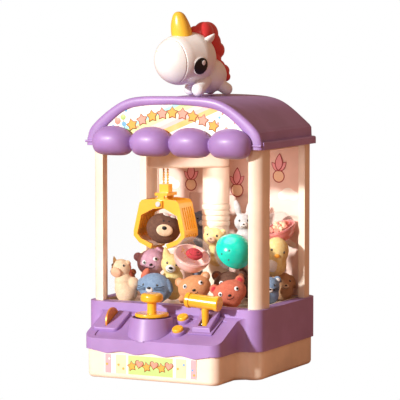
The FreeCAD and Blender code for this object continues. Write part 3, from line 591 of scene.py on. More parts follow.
class Finish(Enum):
    """Every finish of the toy."""

    LILAC = Moulded("lilac_plastic", "a884c2", 0.42, 0.06)
    CREAM = Moulded("cream_plastic", "fde9d4", 0.36)
    YELLOW = Moulded("yellow_plastic", "fdbb2e", 0.24, 0.5, 0.5)
    CLAW = Moulded("claw_yellow", "f9b32a", 0.28, 0.4, 0.4)
    WHITE = Moulded("white_plastic", "f8f5f4", 0.26, 0.5, 0.5)
    MANE = Moulded("mane_red", "e23c3f", 0.36, 0.3, 0.6)
    HORN = Moulded("horn_yellow", "f9c43e", 0.3, 0.4, 0.6)
    BLACK = Moulded("eye_black", "040303", 0.38, 0.05, 0.2, 0.0)
    DARK = Moulded("dark_plastic", "3a3538", 0.5, 0.0, 0.4, 0.0)
    BOARD = Moulded("board_green", "2d6b45", 0.45, 0.1, 0.2, 0.0)
    CELL = Moulded("cell_sleeve", "4a5570", 0.3, 0.3, 0.3, 0.0)
    RUBBER = Moulded("foot_rubber", "4a4749", 0.85, 0.0, 0.5, 0.0)
    TOKEN = Plated("coin_gold", "ea983c", 0.35, 0.3)
    CHAIN = Plated("chain_gold", "e8b23c", 0.9, 0.22)
    STEEL = Plated("pin_steel", "c9c9cc", 1.0, 0.25)
    WALL = Card("wall_print", "f3cfc0")
    CREAM_CARD = Card("card_cream", "fff6ea")
    PINK_CARD = Card("card_pink", "f6a9b1")
    PEACH_CARD = Card("card_peach", "fbd3ae")
    GREEN_CARD = Card("card_green", "bcd882")
    ORANGE_CARD = Card("card_orange", "f6a83a")
    BLUE_CARD = Card("card_blue", "6fb1de")
    SALMON_CARD = Card("card_salmon", "f79b86")
    BROWN_INK = Card("ink_brown", "8a5428")
    RED_INK = Card("ink_red", "a8353a")
    SIGN = Rainbow()
    WINDOW = ClearSheet("window_clear", "ffffff", 0.001, 0.06, 0.3)
    LID = ClearSheet("capsule_clear", "fefefe", 0.01, 0.34, 0.75)
    TEAL = Shell("capsule_teal", "08d6bd")
    PINK = Shell("capsule_pink", "fbcfc6")
    ROSE = Shell("capsule_rose", "e58f8d")
    TAN_FUR = Plush("fur_tan", "e8a978", "d98f5c")
    CORAL_FUR = Plush("fur_coral", "dd7d62", "c9654e")
    BROWN_FUR = Plush("fur_brown", "7a5442", "5f3f33")
    RUST_FUR = Plush("fur_rust", "b0663f", "8f4d30")
    LAVENDER_FUR = Plush("fur_lavender", "e2b4c8", "cc98b2")
    BLUE_FUR = Plush("fur_blue", "8fa9c8", "748fb0")
    CREAM_FUR = Plush("fur_cream", "f6dfc0", "ecc9a0")
    PEACH_FUR = Plush("fur_peach", "f4c9a8", "e8b088")
    YELLOW_FUR = Plush("fur_yellow", "fbe5a6", "f2cf80")
    GREY_FUR = Plush("fur_grey", "dcdad8", "b9b6b8")
    SLATE_FUR = Plush("fur_slate", "7d8698", "646c7e")
    BEIGE_FUR = Plush("fur_beige", "cfa27c", "b98a64")
    WHITE_FUR = Plush("fur_white", "fbf6f0", "eee4dc")
    ROSE_FELT = Plush("felt_rose", "e0404c", "b62a3a", 0.3)


class Palette:
    """Builds each finish once."""

    def __init__(self) -> None:
        """Starts empty."""
        self.made: dict[Finish, bpy.types.Material] = {}

    def get(self, finish: Finish) -> bpy.types.Material:
        """The material of a finish.

        Args:
            finish: which one.

        Returns:
            Its material.
        """
        if finish not in self.made:
            self.made[finish] = finish.value.build()
        return self.made[finish]


PALETTE = Palette()


# ------------------------------------------------------------------------------ mesh making
class Clay:
    """A mesh in millimetres that grows part by part, each part with its own finish."""

    def __init__(self) -> None:
        """Starts empty."""
        self.points: list[Vector] = []
        self.faces: Faces = []
        self.looks: list[int] = []
        self.finishes: list[Finish] = []

    def add(
        self, points: Iterable[Point], faces: Faces, finish: Finish, place: Optional[Matrix] = None
    ) -> None:
        """Adds one closed part.

        Args:
            points: its corners.
            faces: its faces.
            finish: its finish.
            place: where it goes.
        """
        if finish not in self.finishes:
            self.finishes.append(finish)
        start = len(self.points)
        self.points += [place @ Vector(p) if place else Vector(p) for p in points]
        self.faces += [[start + i for i in face] for face in faces]
        self.looks += [self.finishes.index(finish)] * len(faces)

    def ball(
        self, centre: Point, radii: Point, finish: Finish, turn: Optional[Matrix] = None, fine: int = 3
    ) -> None:
        """Adds a rounded lump.

        Args:
            centre: its middle.
            radii: its three half sizes.
            finish: its finish.
            turn: how it is turned.
            fine: how finely it is divided.
        """
        lump = bmesh.new()
        bmesh.ops.create_icosphere(lump, subdivisions=fine, radius=1.0)
        place = Matrix.Translation(Vector(centre)) @ (
            turn or Matrix.Identity(4)
        ) @ Matrix.Diagonal((*radii, 1.0))
        lump.verts.index_update()
        self.add(
            [v.co for v in lump.verts], [[v.index for v in f.verts] for f in lump.faces], finish, place
        )
        lump.free()

    def lathe(
        self, profile: Outline, finish: Finish, place: Optional[Matrix] = None, around: int = 48
    ) -> None:
        """Adds a turned part about Z.

        Args:
            profile: radius and height from the lower pole to the upper.
            finish: its finish.
            place: where it goes.
            around: how many steps round.
        """
        points: list[Point] = []
        for radius, height in profile:
            for i in range(around):
                angle = 2 * math.pi * i / around
                points.append((radius * math.cos(angle), radius * math.sin(angle), height))
        faces: Faces = []
        for row in range(len(profile) - 1):
            for i in range(around):
                j = (i + 1) % around
                faces.append(
                    (row * around + i, row * around + j, (row + 1) * around + j, (row + 1) * around + i)
                )
        if profile[0][0] > 0:
            faces.append(list(range(around))[::-1])
        if profile[-1][0] > 0:
            faces.append(list(range((len(profile) - 1) * around, len(profile) * around)))
        self.add(points, faces, finish, place)

    def plate(self, outline: Outline, thick: float, finish: Finish, place: Matrix) -> None:
        """Adds a flat cut-out with a slightly domed rim.

        Args:
            outline: its outline, anticlockwise, in its own plane.
            thick: how far it stands up.
            finish: its finish.
            place: the plane's place.
        """
        count = len(outline)
        cx = sum(p[0] for p in outline) / count
        cy = sum(p[1] for p in outline) / count
        rings = [(1.0, 0.0), (1.0, thick * 0.6), (0.94, thick)]
        points = [(cx + (x - cx) * s, cy + (y - cy) * s, h) for s, h in rings for x, y in outline]
        faces: Faces = [list(range(count))[::-1], list(range(2 * count, 3 * count))]
        for ring in range(2):
            for i in range(count):
                j = (i + 1) % count
                low = ring * count
                faces.append((low + i, low + j, low + count + j, low + count + i))
        self.add(points, faces, finish, place)

    def tube(
        self, path: Sequence[Point], radius: float, finish: Finish, around: int = 8, taper: float = 1.0
    ) -> None:
        """Adds a round strand along a path.

        Args:
            path: its points.
            radius: its radius at the start.
            finish: its finish.
            around: steps round it.
            taper: the end's radius over the start's.
        """
        spots = [Vector(p) for p in path]
        points: list[Point] = []
        side = Vector((0.31, 0.83, 0.47))
        for i, spot in enumerate(spots):
            ahead = (spots[min(i + 1, len(spots) - 1)] - spots[max(i - 1, 0)]).normalized()
            across = ahead.cross(side).normalized()
            other = ahead.cross(across)
            size = radius * (1 + (taper - 1) * i / max(1, len(spots) - 1))
            for k in range(around):
                angle = 2 * math.pi * k / around
                points.append(spot + across * (size * math.cos(angle)) + other * (size * math.sin(angle)))
        faces: Faces = [list(range(around)), list(range(len(points) - around, len(points)))[::-1]]
        for i in range(len(spots) - 1):
            for k in range(around):
                j = (k + 1) % around
                low = i * around
                faces.append((low + j, low + k, low + around + k, low + around + j))
        self.add(points, faces, finish)

    def piece(
        self, name: str, body: str, slot: str, replaces: Sequence[str] = (), sharp_deg: float = 38.0
    ) -> bpy.types.Object:
        """Makes the object and lets it ride.

        Args:
            name: its name.
            body: the body that it rides on.
            slot: not used.
            replaces: CAD nodes that it stands for.
            sharp_deg: edges sharper than this stay sharp.

        Returns:
            The object.
        """
        mesh = bpy.data.meshes.new(name)
        mesh.from_pydata([p * MM for p in self.points], [], self.faces)
        mesh.validate()
        for finish in self.finishes:
            mesh.materials.append(PALETTE.get(finish))
        mesh.polygons.foreach_set("material_index", self.looks)
        obj = bpy.data.objects.new(name, mesh)
        bpy.context.scene.collection.objects.link(obj)
        tidy_normals(mesh, sharp_deg)
        settle(obj, body, replaces)
        return obj


def tidy_normals(mesh: bpy.types.Mesh, sharp_deg: float) -> None:
    """Turns faces outward and shades the mesh smooth up to an angle.

    Args:
        mesh: the mesh.
        sharp_deg: edges sharper than this stay sharp.
    """
    work = bmesh.new()
    work.from_mesh(mesh)
    bmesh.ops.recalc_face_normals(work, faces=work.faces)
    work.to_mesh(mesh)
    work.free()
    mesh.shade_smooth()
    mesh.set_sharp_from_angle(angle=math.radians(sharp_deg))


def settle(obj: bpy.types.Object, body: str, replaces: Sequence[str]) -> None:
    """Parents a piece to its body's empty and hides the CAD nodes that it stands for.

    Args:
        obj: the piece.
        body: its body.
        replaces: CAD nodes that it stands for.
    """
    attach(obj, body)
    if replaces:
        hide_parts(*replaces)
    LOG.info("piece %s on %s", obj.name, body)


def apply_modifiers(obj: bpy.types.Object) -> None:
    """Makes an object's modifiers part of its mesh.

    Args:
        obj: the object.
    """
    seen = obj.evaluated_get(bpy.context.evaluated_depsgraph_get())
    mesh = bpy.data.meshes.new_from_object(seen)
    old = obj.data
    obj.modifiers.clear()
    obj.data = mesh
    bpy.data.meshes.remove(old)


def sculpt(obj: bpy.types.Object, voxel_mm: float, smooth: int, fuzz_mm: float = 0.0) -> None:
    """Melts an object's lumps into one skin, smooths it and roughens it like pile.

    Args:
        obj: the object.
        voxel_mm: the skin's fineness.
        smooth: smoothing steps.
        fuzz_mm: how far the pile stands out.
    """
    looks = [m for m in obj.data.materials]
    melt = obj.modifiers.new("melt", "REMESH")
    melt.mode = "VOXEL"
    melt.voxel_size = voxel_mm * MM
    melt.use_smooth_shade = True
    even = obj.modifiers.new("even", "SMOOTH")
    even.factor = 0.5
    even.iterations = smooth
    apply_modifiers(obj)
    mesh = obj.data
    if fuzz_mm:
        for v in mesh.vertices:
            lift = noise.noise(v.co * 900.0) * 0.6 + noise.noise(v.co * 2300.0) * 0.4
            v.co += v.normal * (lift * fuzz_mm * MM)
    mesh.materials.clear()
    for look in looks:
        mesh.materials.append(look)
    mesh.shade_smooth()


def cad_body(node: str) -> str:
    """The body that a CAD node rides on.

    Args:
        node: the node's name.

    Returns:
        The body's name.
    """
    for body, members in frame["record"]["behaviour"]["bodies"].items():
        if node in members:
            return body
    raise KeyError(node)


def islands(node: str) -> list[tuple[Vector, Vector]]:
    """The boxes of a node's separate solids, from left to right.

    Args:
        node: the CAD node.

    Returns:
        Lowest and highest corners in millimetres.
    """
    work = bmesh.new()
    work.from_mesh(frame["nodes"][node].data)
    bmesh.ops.remove_doubles(work, verts=work.verts, dist=0.01 * MM)
    work.verts.ensure_lookup_table()
    seen: set[int] = set()
    boxes = []
    for start in work.verts:
        if start.index in seen:
            continue
        stack = [start]
        seen.add(start.index)
        group = []
        while stack:
            v = stack.pop()
            group.append(v.co.copy())
            for edge in v.link_edges:
                other = edge.other_vert(v)
                if other.index not in seen:
                    seen.add(other.index)
                    stack.append(other)
        spread = np.array(group) / MM
        boxes.append((Vector(spread.min(0)), Vector(spread.max(0))))
    work.free()
    return sorted(boxes, key=lambda b: b[0].x + b[1].x)


# ------------------------------------------------------------------------------ flat outlines
def star(radius: float, points: int = 5, inner: float = 0.5) -> Outline:
    """A star's outline.

    Args:
        radius: out to its points.
        points: how many.
        inner: the notches' radius over the points'.

    Returns:
        The outline.
    """
    steps = points * 2
    reach = [radius if i % 2 == 0 else radius * inner for i in range(steps)]
    step = 2 * math.pi / steps
    return [(-r * math.sin(step * i), r * math.cos(step * i)) for i, r in enumerate(reach)]


def disc(radius: float, wide: float = 1.0, steps: int = 28) -> Outline:
    """A round or oval outline.

    Args:
        radius: its half height.
        wide: its width over its height.
        steps: how many corners.

    Returns:
        The outline.
    """
    turns = [2 * math.pi * i / steps for i in range(steps)]
    return [(radius * wide * math.cos(a), radius * math.sin(a)) for a in turns]


def heart(size: float, steps: int = 30) -> Outline:
    """A heart's outline, by the usual formula.

    Args:
        size: about half its width.
        steps: how many corners.

    Returns:
        The outline.
    """
    scale = size / 16
    outline = []
    for i in range(steps):
        t = -2 * math.pi * i / steps
        x = 16 * math.sin(t) ** 3
        y = 13 * math.cos(t) - 5 * math.cos(2 * t) - 2 * math.cos(3 * t) - math.cos(4 * t)
        outline.append((x * scale, y * scale))
    return outline


def bar(width: float, height: float) -> Outline:
    """A plain rectangle about its middle."""
    w, h = width / 2, height / 2
    return [(-w, -h), (w, -h), (w, h), (-w, h)]


def front_plane(x: float, y: float, z: float, roll_deg: float = 0.0) -> Matrix:
    """A plane that faces the player: its X runs right, its Y runs up.

    Args:
        x: right.
        y: depth of the plane.
        z: up.
        roll_deg: turn in the plane.

    Returns:
        The plane's place.
    """
    stand = turned(90, "X")
    return moved(x, y, z) @ stand @ turned(roll_deg, "Z")


# ------------------------------------------------------------------------------ sub-assemblies
@dataclass
class Frame:
    """CAD pieces that stay as they are and only get a finish."""

    looks: dict[Finish, tuple[str, ...]]

    def dress(self) -> None:
        """Puts the finishes on the CAD nodes."""
        for finish, nodes in self.looks.items():
            for node in nodes:
                mesh = frame["nodes"][node].data
                mesh.materials.clear()
                mesh.materials.append(PALETTE.get(finish))
                LOG.info("node %s wears %s", node, finish.name)


def hull_frame() -> Frame:
    """The CAD pieces with the right shape and their finishes."""
    return Frame(
        {
            Finish.LILAC: (
                "lower_housing", "joystick_boss", "hammer_block", "coin_pad", "button_collars", "roof_shell"
            ),
            Finish.CREAM: (
                "base_tray",
                "bottom_plate",
                "battery_cover",
                "column_base",
                "pillar_front_left",
                "pillar_front_right",
                "pillar_rear_left",
                "pillar_rear_right",
                "prize_floor",
                "mast",
                "arm_housing",
                "arm_lid",
                "ceiling_plate",
            ),
            Finish.WALL: ("rear_panel", "rear_door", "door_knob"),
            Finish.YELLOW: (
                "joystick_disc",
                "joystick_stem",
                "joystick_knob",
                "hammer_head",
                "hammer_post",
                "button_upper",
                "button_lower",
            ),
            Finish.CLAW: ("claw_crown", "jaw_left", "jaw_right"),
            Finish.STEEL: ("claw_pins", "gimbal_pin", "hammer_pin", "base_screws"),
            Finish.TOKEN: ("coin",),
            Finish.DARK: ("gimbal_ring", "winch_drum", "winch_motor", "speaker"),
            Finish.BOARD: ("circuit_board",),
            Finish.CELL: ("batteries",),
            Finish.RUBBER: ("rubber_feet",),
            Finish.SIGN: ("sign_panel",),
            Finish.CREAM_CARD: ("front_label",),
            Finish.WINDOW: ("window_front", "window_left", "window_right"),
        }
    )


@dataclass
class Marquee:
    """Scalloped awning, bulging arch band and the prints on the sign."""

    pitch: float = 49.0
    lobe_half: float = 25.2
    lobe_z: float = 265.0
    lobe_high: float = 17.0
    lobe_back: float = -52.2
    lobe_deep: float = 21.2
    arch_back: float = -46.6
    arch_deep: float = 5.3
    sign_y: float = -48.5
    star_r: float = 7.9
    star_count: int = 9
    star_reach: float = 52.0
    star_top: float = 298.5
    star_drop: float = 13.0

    def lobe(self, clay: Clay, x: float) -> None:
        """One puffed lobe.

        Args:
            clay: the mesh that it joins.
            x: its middle.
        """
        steps = 30
        points: list[Point] = []
        for i in range(steps + 1):
            for j in range(steps + 1):
                u = math.sin(math.pi / 2 * (2 * i / steps - 1))
                w = math.sin(math.pi / 2 * (2 * j / steps - 1))
                power = 2.1 if w > 0 else 3.7
                tall = self.lobe_high * (1 - abs(u) ** power) ** (1 / power)
                front = (1 - abs(u) ** 2.5) ** 0.52 * (1 - abs(w) ** 2.3) ** 0.52
                points.append(
                    (
                        x + self.lobe_half * u,
                        self.lobe_back - self.lobe_deep * front,
                        self.lobe_z + tall * w,
                    )
                )
        faces: Faces = []
        row = steps + 1
        for i in range(steps):
            for j in range(steps):
                low = i * row + j
                faces.append((low, low + row, low + row + 1, low + 1))
        rim = [i * row for i in range(row)] + [steps * row + j for j in range(1, row)]
        rim += [i * row + steps for i in range(steps - 1, -1, -1)] + [j for j in range(steps - 1, 0, -1)]
        faces.append(rim)
        clay.add(points, faces, Finish.LILAC)

    def awning(self) -> None:
        """Builds the four lobes."""
        clay = Clay()
        for place in (-1.5, -0.5, 0.5, 1.5):
            self.lobe(clay, place * self.pitch)
        piece = clay.piece("awning_lobes", "cabinet", "lilac_plastic", ["awning"], 60.0)
        sculpt(piece, 1.0, 3)

    def arch(self) -> None:
        """Builds the rounded band round the sign."""
        outer = curve_through(
            [
                (110, 258.7),
                (109.0, 268),
                (104.3, 279.5),
                (85.7, 296.2),
                (63.6, 309.7),
                (41.5, 315),
                (0, 316.3),
            ]
        )
        inner = curve_through(
            [(91.5, 258.7), (90.0, 271), (83.5, 281.4), (61.0, 298.6), (37.0, 304.6), (0, 306.6)]
        )
        pairs = [(o, n) for o, n in zip(outer, inner)]
        pairs += [((-o[0], o[1]), (-n[0], n[1])) for o, n in reversed(pairs[:-1])]
        across = 14
        points: list[Point] = []
        for o, n in pairs:
            for k in range(across + 1):
                t = (1 - math.cos(math.pi * k / across)) / 2
                bulge = math.sin(math.pi * k / across) ** 0.55
                spot = [o[a] + (n[a] - o[a]) * t for a in (0, 1)]
                points.append((spot[0], self.arch_back - self.arch_deep * bulge, spot[1]))
        row = across + 1
        faces: Faces = []
        for i in range(len(pairs) - 1):
            for k in range(across):
                low = i * row + k
                faces.append((low, low + 1, low + row + 1, low + row))
            faces.append((i * row, (i + 1) * row, (i + 1) * row + across, i * row + across))
        faces.append(list(range(row)))
        faces.append(list(range((len(pairs) - 1) * row, len(pairs) * row))[::-1])
        clay = Clay()
        clay.add(points, faces, Finish.LILAC)
        for side in SIDES:
            step = [(side * 92.0, -51.9, 263.4), (side * 110.2, -51.9, 263.4)]
            clay.tube(step, 1.3, Finish.LILAC, 12)
        clay.piece("arch_band", "cabinet", "lilac_plastic", ["arch_trim"])

    def prints(self) -> None:
        """Prints stars in an arc, balloons and dots on the sign."""
        clay = Clay()
        colours = [Finish.ORANGE_CARD, Finish.SALMON_CARD]
        for i in range(self.star_count):
            x = (self.star_reach * 2 - 2.0) * i / (self.star_count - 1) - self.star_reach
            z = self.star_top - (x / self.star_reach) ** 2 * self.star_drop - abs(x) * 0.03
            place = front_plane(x, self.sign_y, z - 1.0, -x * 0.32)
            clay.plate(star(self.star_r, 5, 0.6), 0.2, Finish.BROWN_INK, place)
            clay.plate(star(self.star_r - 1.6, 5, 0.58), 0.45, colours[i % 2], place)
        balloons = (
            (-70.5, 287.0, 3.9, Finish.SALMON_CARD),
            (-63.5, 291.5, 3.3, Finish.GREEN_CARD),
            (-62.4, 283.6, 2.9, Finish.BLUE_CARD),
        )
        ink_y = self.sign_y - 0.2
        for x, z, r, tint in balloons:
            clay.plate(disc(r), 0.35, tint, front_plane(x, self.sign_y, z))
            string = [(x, ink_y, z - r), (x + 1.2, ink_y, z - r - 3), (x + 0.4, ink_y, z - r - 6)]
            clay.tube(string, 0.22, Finish.BROWN_INK, 6)
        chance = random.Random(7)
        for x, z in (
            (-59.8, 299.0),
            (57.5, 293.6),
            (55.7, 287.0),
            (-45.0, 281.0),
            (66.0, 281.5),
            (61.0, 297.5),
            (-76.0, 281.0),
            (76.0, 288.0),
        ):
            tint = chance.choice([Finish.SALMON_CARD, Finish.BLUE_CARD, Finish.PINK_CARD])
            clay.plate(disc(1.2 + chance.random() * 0.5), 0.3, tint, front_plane(x, self.sign_y, z))
        clay.piece("sign_prints", "cabinet", "printed_sign")

    def build(self) -> None:
        """Builds every part."""
        self.awning()
        self.arch()
        self.prints()


def curve_through(spots: Outline, count: int = 40) -> list[tuple[float, float]]:
    """Points evenly along a smooth curve through some spots.

    Args:
        spots: what it runs through.
        count: how many points are wanted.

    Returns:
        The points.
    """
    path = [np.array(s, float) for s in spots]
    path = [2 * path[0] - path[1]] + path + [2 * path[-1] - path[-2]]
    dense = []
    for i in range(1, len(path) - 2):
        a, b, c, d = path[i - 1 : i + 3]
        for t in np.linspace(0, 1, 24, endpoint=False):
            square = 2 * a - 5 * b + 4 * c - d
            cube = 3 * b - a - 3 * c + d
            dense.append(0.5 * (2 * b + (c - a) * t + square * t**2 + cube * t**3))
    dense.append(path[-2])
    line = np.array(dense)
    run = np.concatenate([[0], np.cumsum(np.linalg.norm(np.diff(line, axis=0), axis=1))])
    wanted = np.linspace(0, run[-1], count)
    return [(float(np.interp(w, run, line[:, 0])), float(np.interp(w, run, line[:, 1]))) for w in wanted]


@dataclass
class LabelPrints:
    """Printed bands and shapes on the front plate of the base."""

    bottom: float = 8.4
    top: float = 29.6

    def build(self) -> None:
        """Builds the prints just proud of the plate."""
        low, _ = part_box("front_label")
        y = low.y / MM
        middle_z = (self.bottom + self.top) / 2
        high = self.top - self.bottom
        clay = Clay()
        bands = (
            (-52.5, 7.5, Finish.PINK_CARD),
            (-36.5, 13.0, Finish.PEACH_CARD),
            (0.5, 55.5, Finish.GREEN_CARD),
            (38.5, 13.0, Finish.PEACH_CARD),
            (53.5, 6.5, Finish.PINK_CARD),
        )
        for x, wide, tint in bands:
            clay.plate(bar(wide, high), 0.15, tint, front_plane(x, y, middle_z))
        inks = [Finish.BROWN_INK, Finish.ORANGE_CARD, Finish.SALMON_CARD]
        for i in range(6):
            place = front_plane(
                -22.5 + 9.2 * i, y - 0.1, middle_z + (1.6 if i % 2 else -1.2), 10.0 * (-1) ** i
            )
            outline = heart(4.4) if i % 2 else star(5.0, 5, 0.55)
            rim = heart(5.6) if i % 2 else star(6.5, 5, 0.55)
            clay.plate(rim, 0.2, inks[0], place)
            clay.plate(outline, 0.4, inks[1 + i % 2], place)
        chance = random.Random(11)
        for x in (-54.0, -51.0, -39.5, -33.5, 34.5, 42.0, 52.5, 54.5):
            z = chance.uniform(self.bottom + 3, self.top - 3)
            tint = chance.choice([Finish.BLUE_CARD, Finish.CREAM_CARD, Finish.ORANGE_CARD])
            clay.plate(disc(1.3), 0.3, tint, front_plane(x, y - 0.1, z))
        clay.piece("label_prints", "cabinet", "printed_label")


@dataclass
class WallPrints:
    """Generic petals, rings and clouds printed on the inside of the rear wall."""

    def cloud(self, clay: Clay, x: float, z: float, size: float, y: float) -> None:
        """A cloud of three round puffs.

        Args:
            clay: the mesh that it joins.
            x: its middle.
            z: its middle.
            size: about half its width.
            y: the wall's face.
        """
        for dx, dz, r, thick in (
            (-0.55, -0.1, 0.42, 0.2), (0.0, 0.12, 0.55, 0.3), (0.55, -0.08, 0.45, 0.25)
        ):
            clay.plate(
                disc(size * r, 1.25), thick, Finish.CREAM_CARD, front_plane(x + size * dx, y, z + size * dz)
            )

    def ring(self, clay: Clay, x: float, z: float, r: float, y: float, tint: Finish) -> None:
        """A filled circle with a darker outline.

        Args:
            clay: the mesh that it joins.
            x: its middle.
            z: its middle.
            r: its radius.
            y: the wall's face.
            tint: its fill.
        """
        clay.plate(disc(r), 0.2, Finish.RED_INK, front_plane(x, y, z))
        clay.plate(disc(r * 0.84), 0.35, tint, front_plane(x, y, z))

    def petal(self, clay: Clay, x: float, z: float, size: float, roll: float, y: float) -> None:
        """A petal with an outline.

        Args:
            clay: the mesh that it joins.
            x: its foot.
            z: its foot.
            size: its length.
            roll: which way it points.
            y: the wall's face.
        """
        steps = 14
        half = []
        for i in range(steps + 1):
            t = i / steps
            half.append((0.24 * math.sin(math.pi * t) ** 0.75 * (1.25 - 0.5 * t), t))
        outline = half[1:] + [(-a, b) for a, b in half[-2:0:-1]] + [(0.0, 0.0)]
        place = front_plane(x, y, z, roll)
        clay.plate([(a * size, b * size) for a, b in outline], 0.2, Finish.RED_INK, place)
        clay.plate(
            [(a * size * 0.8, (b * 0.86 + 0.07) * size) for a, b in outline], 0.35, Finish.PINK_CARD, place
        )

    def build(self) -> None:
        """Builds the prints."""
        low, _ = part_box("rear_panel")
        y = low.y / MM + 0.02
        clay = Clay()
        for x, z in ((12.0, 208.0), (-48.0, 212.0), (66.0, 226.0)):
            for roll, size in ((-42, 15.0), (40, 13.5), (-4, 21.0)):
                self.petal(clay, x, z - 1.0, size, roll, y - 0.05 * size)
        for x, z, r, tint in (
            (12.5, 201.0, 8.4, Finish.PEACH_CARD),
            (-48.0, 205.5, 7.6, Finish.PEACH_CARD),
            (66.0, 219.0, 7.6, Finish.PEACH_CARD),
        ):
            self.ring(clay, x, z, r, y, tint)
        for x, z, size in (
            (78.0, 198.0, 12.0),
            (-76.0, 206.0, 12.0),
            (38.0, 240.0, 13.0),
            (-20.0, 243.0, 13.0),
            (-80.0, 130.0, 9.0),
            (78.0, 140.0, 9.0),
        ):
            self.cloud(clay, x, z, size, y)
        clay.piece("wall_prints", "cabinet", "printed_wall")


@dataclass
class Mascot:
    """The toy unicorn on the roof."""

    foot: tuple[float, float] = (-8.0, 34.0)
    turn_deg: float = -22.0
    head: tuple[float, float, float] = (0.0, -14.0, 357.0)
    head_r: float = 30.0
    muzzle: tuple[float, float, float] = (0.0, -31.0, 355.2)
    muzzle_r: float = 28.6
    seam: float = 28.0
    seam_deep: float = 0.9
    seam_half: float = 0.55
    near_arm: tuple[Point, Point, float] = ((17.5, -17.0, 321.4), (12.0, -2.0, 331.0), 7.9)
    far_arm: tuple[Point, Point, float] = ((10.5, -4.0, 321.2), (9.5, 2.0, 331.0), 7.4)
    hind_leg: tuple[Point, Point, float] = ((14.0, 29.5, 321.0), (9.0, 18.0, 329.0), 7.2)
    ear_root: tuple[float, float, float] = (17.0, -3.0, 376.5)
    ear_lean_deg: float = 52.0
    eye_wide: float = 9.3
    eye_tall: float = 10.0

    def place(self) -> Matrix:
        """From the mascot's own directions to the frame's."""
        return Matrix.Translation((*self.foot, 0.0)) @ turned(self.turn_deg, "Z")

    def body(self) -> None:
        """Builds the trunk and the four stubby legs."""
        clay = Clay()
        clay.ball((0, 13, 337.0), (21.0, 23, 21), Finish.WHITE, None, 4)
        clay.ball((0, -4, 338), (16, 15, 17), Finish.WHITE, None, 4)
        for side in SIDES:
            front = self.near_arm if side > 0 else self.far_arm
            for paw, root, thick in (front, self.hind_leg):
                for k in range(7):
                    t = k / 6
                    spot = [paw[a] * (1 - t) + root[a] * t for a in range(3)]
                    spot[0] *= side
                    clay.ball(spot, (thick, thick, thick), Finish.WHITE)
        self.settle(clay, "unicorn_body", ["unicorn_figure"], 0.9, 6)

    def settle(
        self,
        clay: Clay,
        name: str,
        replaces: Sequence[str],
        voxel: float,
        smooth: int,
        slot: str = "white_plastic",
    ) -> None:
        """Turns the clay into place and melts it.

        Args:
            clay: the lumps.
            name: the piece's name.
            replaces: CAD nodes that it stands for.
            voxel: the skin's fineness, or 0 to leave it.
            smooth: smoothing steps.
        """
        turn = self.place()
        clay.points = [turn @ p for p in clay.points]
        piece = clay.piece(name, "cabinet", slot, replaces)
        if voxel:
            sculpt(piece, voxel, smooth)

    def skull_radius(self, height: float, gap: float) -> float:
        """Radius of the head and muzzle at a height along their common axis.

        Args:
            height: distance from the head's middle towards the muzzle.
            gap: distance between the two middles.

        Returns:
            The radius, less the groove of the seam.
        """
        if height < 0:
            radius = math.sqrt(max(0.0, self.head_r**2 - height**2))
        elif height > gap:
            radius = math.sqrt(max(0.0, self.muzzle_r**2 - (height - gap) ** 2))
        else:
            radius = self.head_r + (self.muzzle_r - self.head_r) * height / gap
        groove = self.seam_deep * math.exp(-(((height - self.seam) / self.seam_half) ** 2))
        return max(radius - groove, 0.0)

    def skull(self) -> None:
        """Builds head and muzzle as one turned barrel with a seam."""
        axis = (Vector(self.muzzle) - Vector(self.head)).normalized()
        gap = (Vector(self.muzzle) - Vector(self.head)).length
        back, front = -self.head_r, gap + self.muzzle_r
        middle, half = (back + front) / 2, (front - back) / 2
        steps = 90
        heights = [middle - half * math.cos(math.pi * i / steps) for i in range(steps + 1)]
        near = 2 * self.seam_deep
        heights = [h for h in heights if abs(h - self.seam) > near]
        heights += [self.seam + 0.4 * self.seam_half * k for k in range(-8, 9)]
        profile = [(self.skull_radius(h, gap), h) for h in sorted(heights)]
        turn = lined_up(axis)
        place = Matrix.Translation(self.head) @ turn
        clay = Clay()
        clay.lathe(profile, Finish.WHITE, place, 96)
        for side in SIDES:
            ear = moved(
                side * self.ear_root[0], *self.ear_root[1:]
            ) @ turned(side * self.ear_lean_deg, "Y") @ turned(-6, "X")
            clay.lathe(
                [(6.6, -1.0), (6.8, 3.0), (5.6, 6.6), (3.4, 10.4), (1.4, 13.2), (0.0, 14.0)],
                Finish.WHITE,
                ear @ Matrix.Diagonal((0.5, 1.0, 1.0, 1.0)),
                28,
            )
        self.settle(clay, "unicorn_head", [], 0.0, 0)

    def face(self) -> None:
        """Builds the eyes, each with a painted highlight, and nostrils on the skin."""
        clay = Clay()
        centre = Vector(self.head)
        for side in SIDES:
            out = Vector((side * 27.2, -3.4, -7.4)).normalized()
            look = lined_up(out)
            upright = Matrix.Translation(centre + Vector((side * 28.3, -9.2, -8.2))) @ look
            lean = upright_roll(upright, Vector((0, 0, 1)))
            spot = upright @ lean
            clay.ball(MIDDLE, (self.eye_wide + 1, self.eye_tall + 1, 1.5), Finish.WHITE, spot, 4)
            clay.ball(
                MIDDLE, (self.eye_wide, self.eye_tall, 1.9), Finish.BLACK, spot @ moved(0, 0, 0.35), 4
            )
            # Painted highlight: a white ball on the black eye stands in for a glint.
            painted_highlight = spot @ moved(2.2, 4.0, 1.85)
            clay.ball(MIDDLE, (2.6, 3.4, 0.5), Finish.WHITE, painted_highlight, 4)
            nostril = []
            for k in range(7):
                a = math.pi * k / 6
                way = Vector(
                    (side * (10.2 + 2.4 * math.cos(a)), -25.5, 9.0 + 1.8 * math.sin(a))
                ).normalized()
                nostril.append(Vector(self.muzzle) + way * (self.muzzle_r + 0.02))
            clay.tube(nostril, 0.32, Finish.PEACH_CARD, 8)
        self.settle(clay, "unicorn_face", [], 0.0, 0)

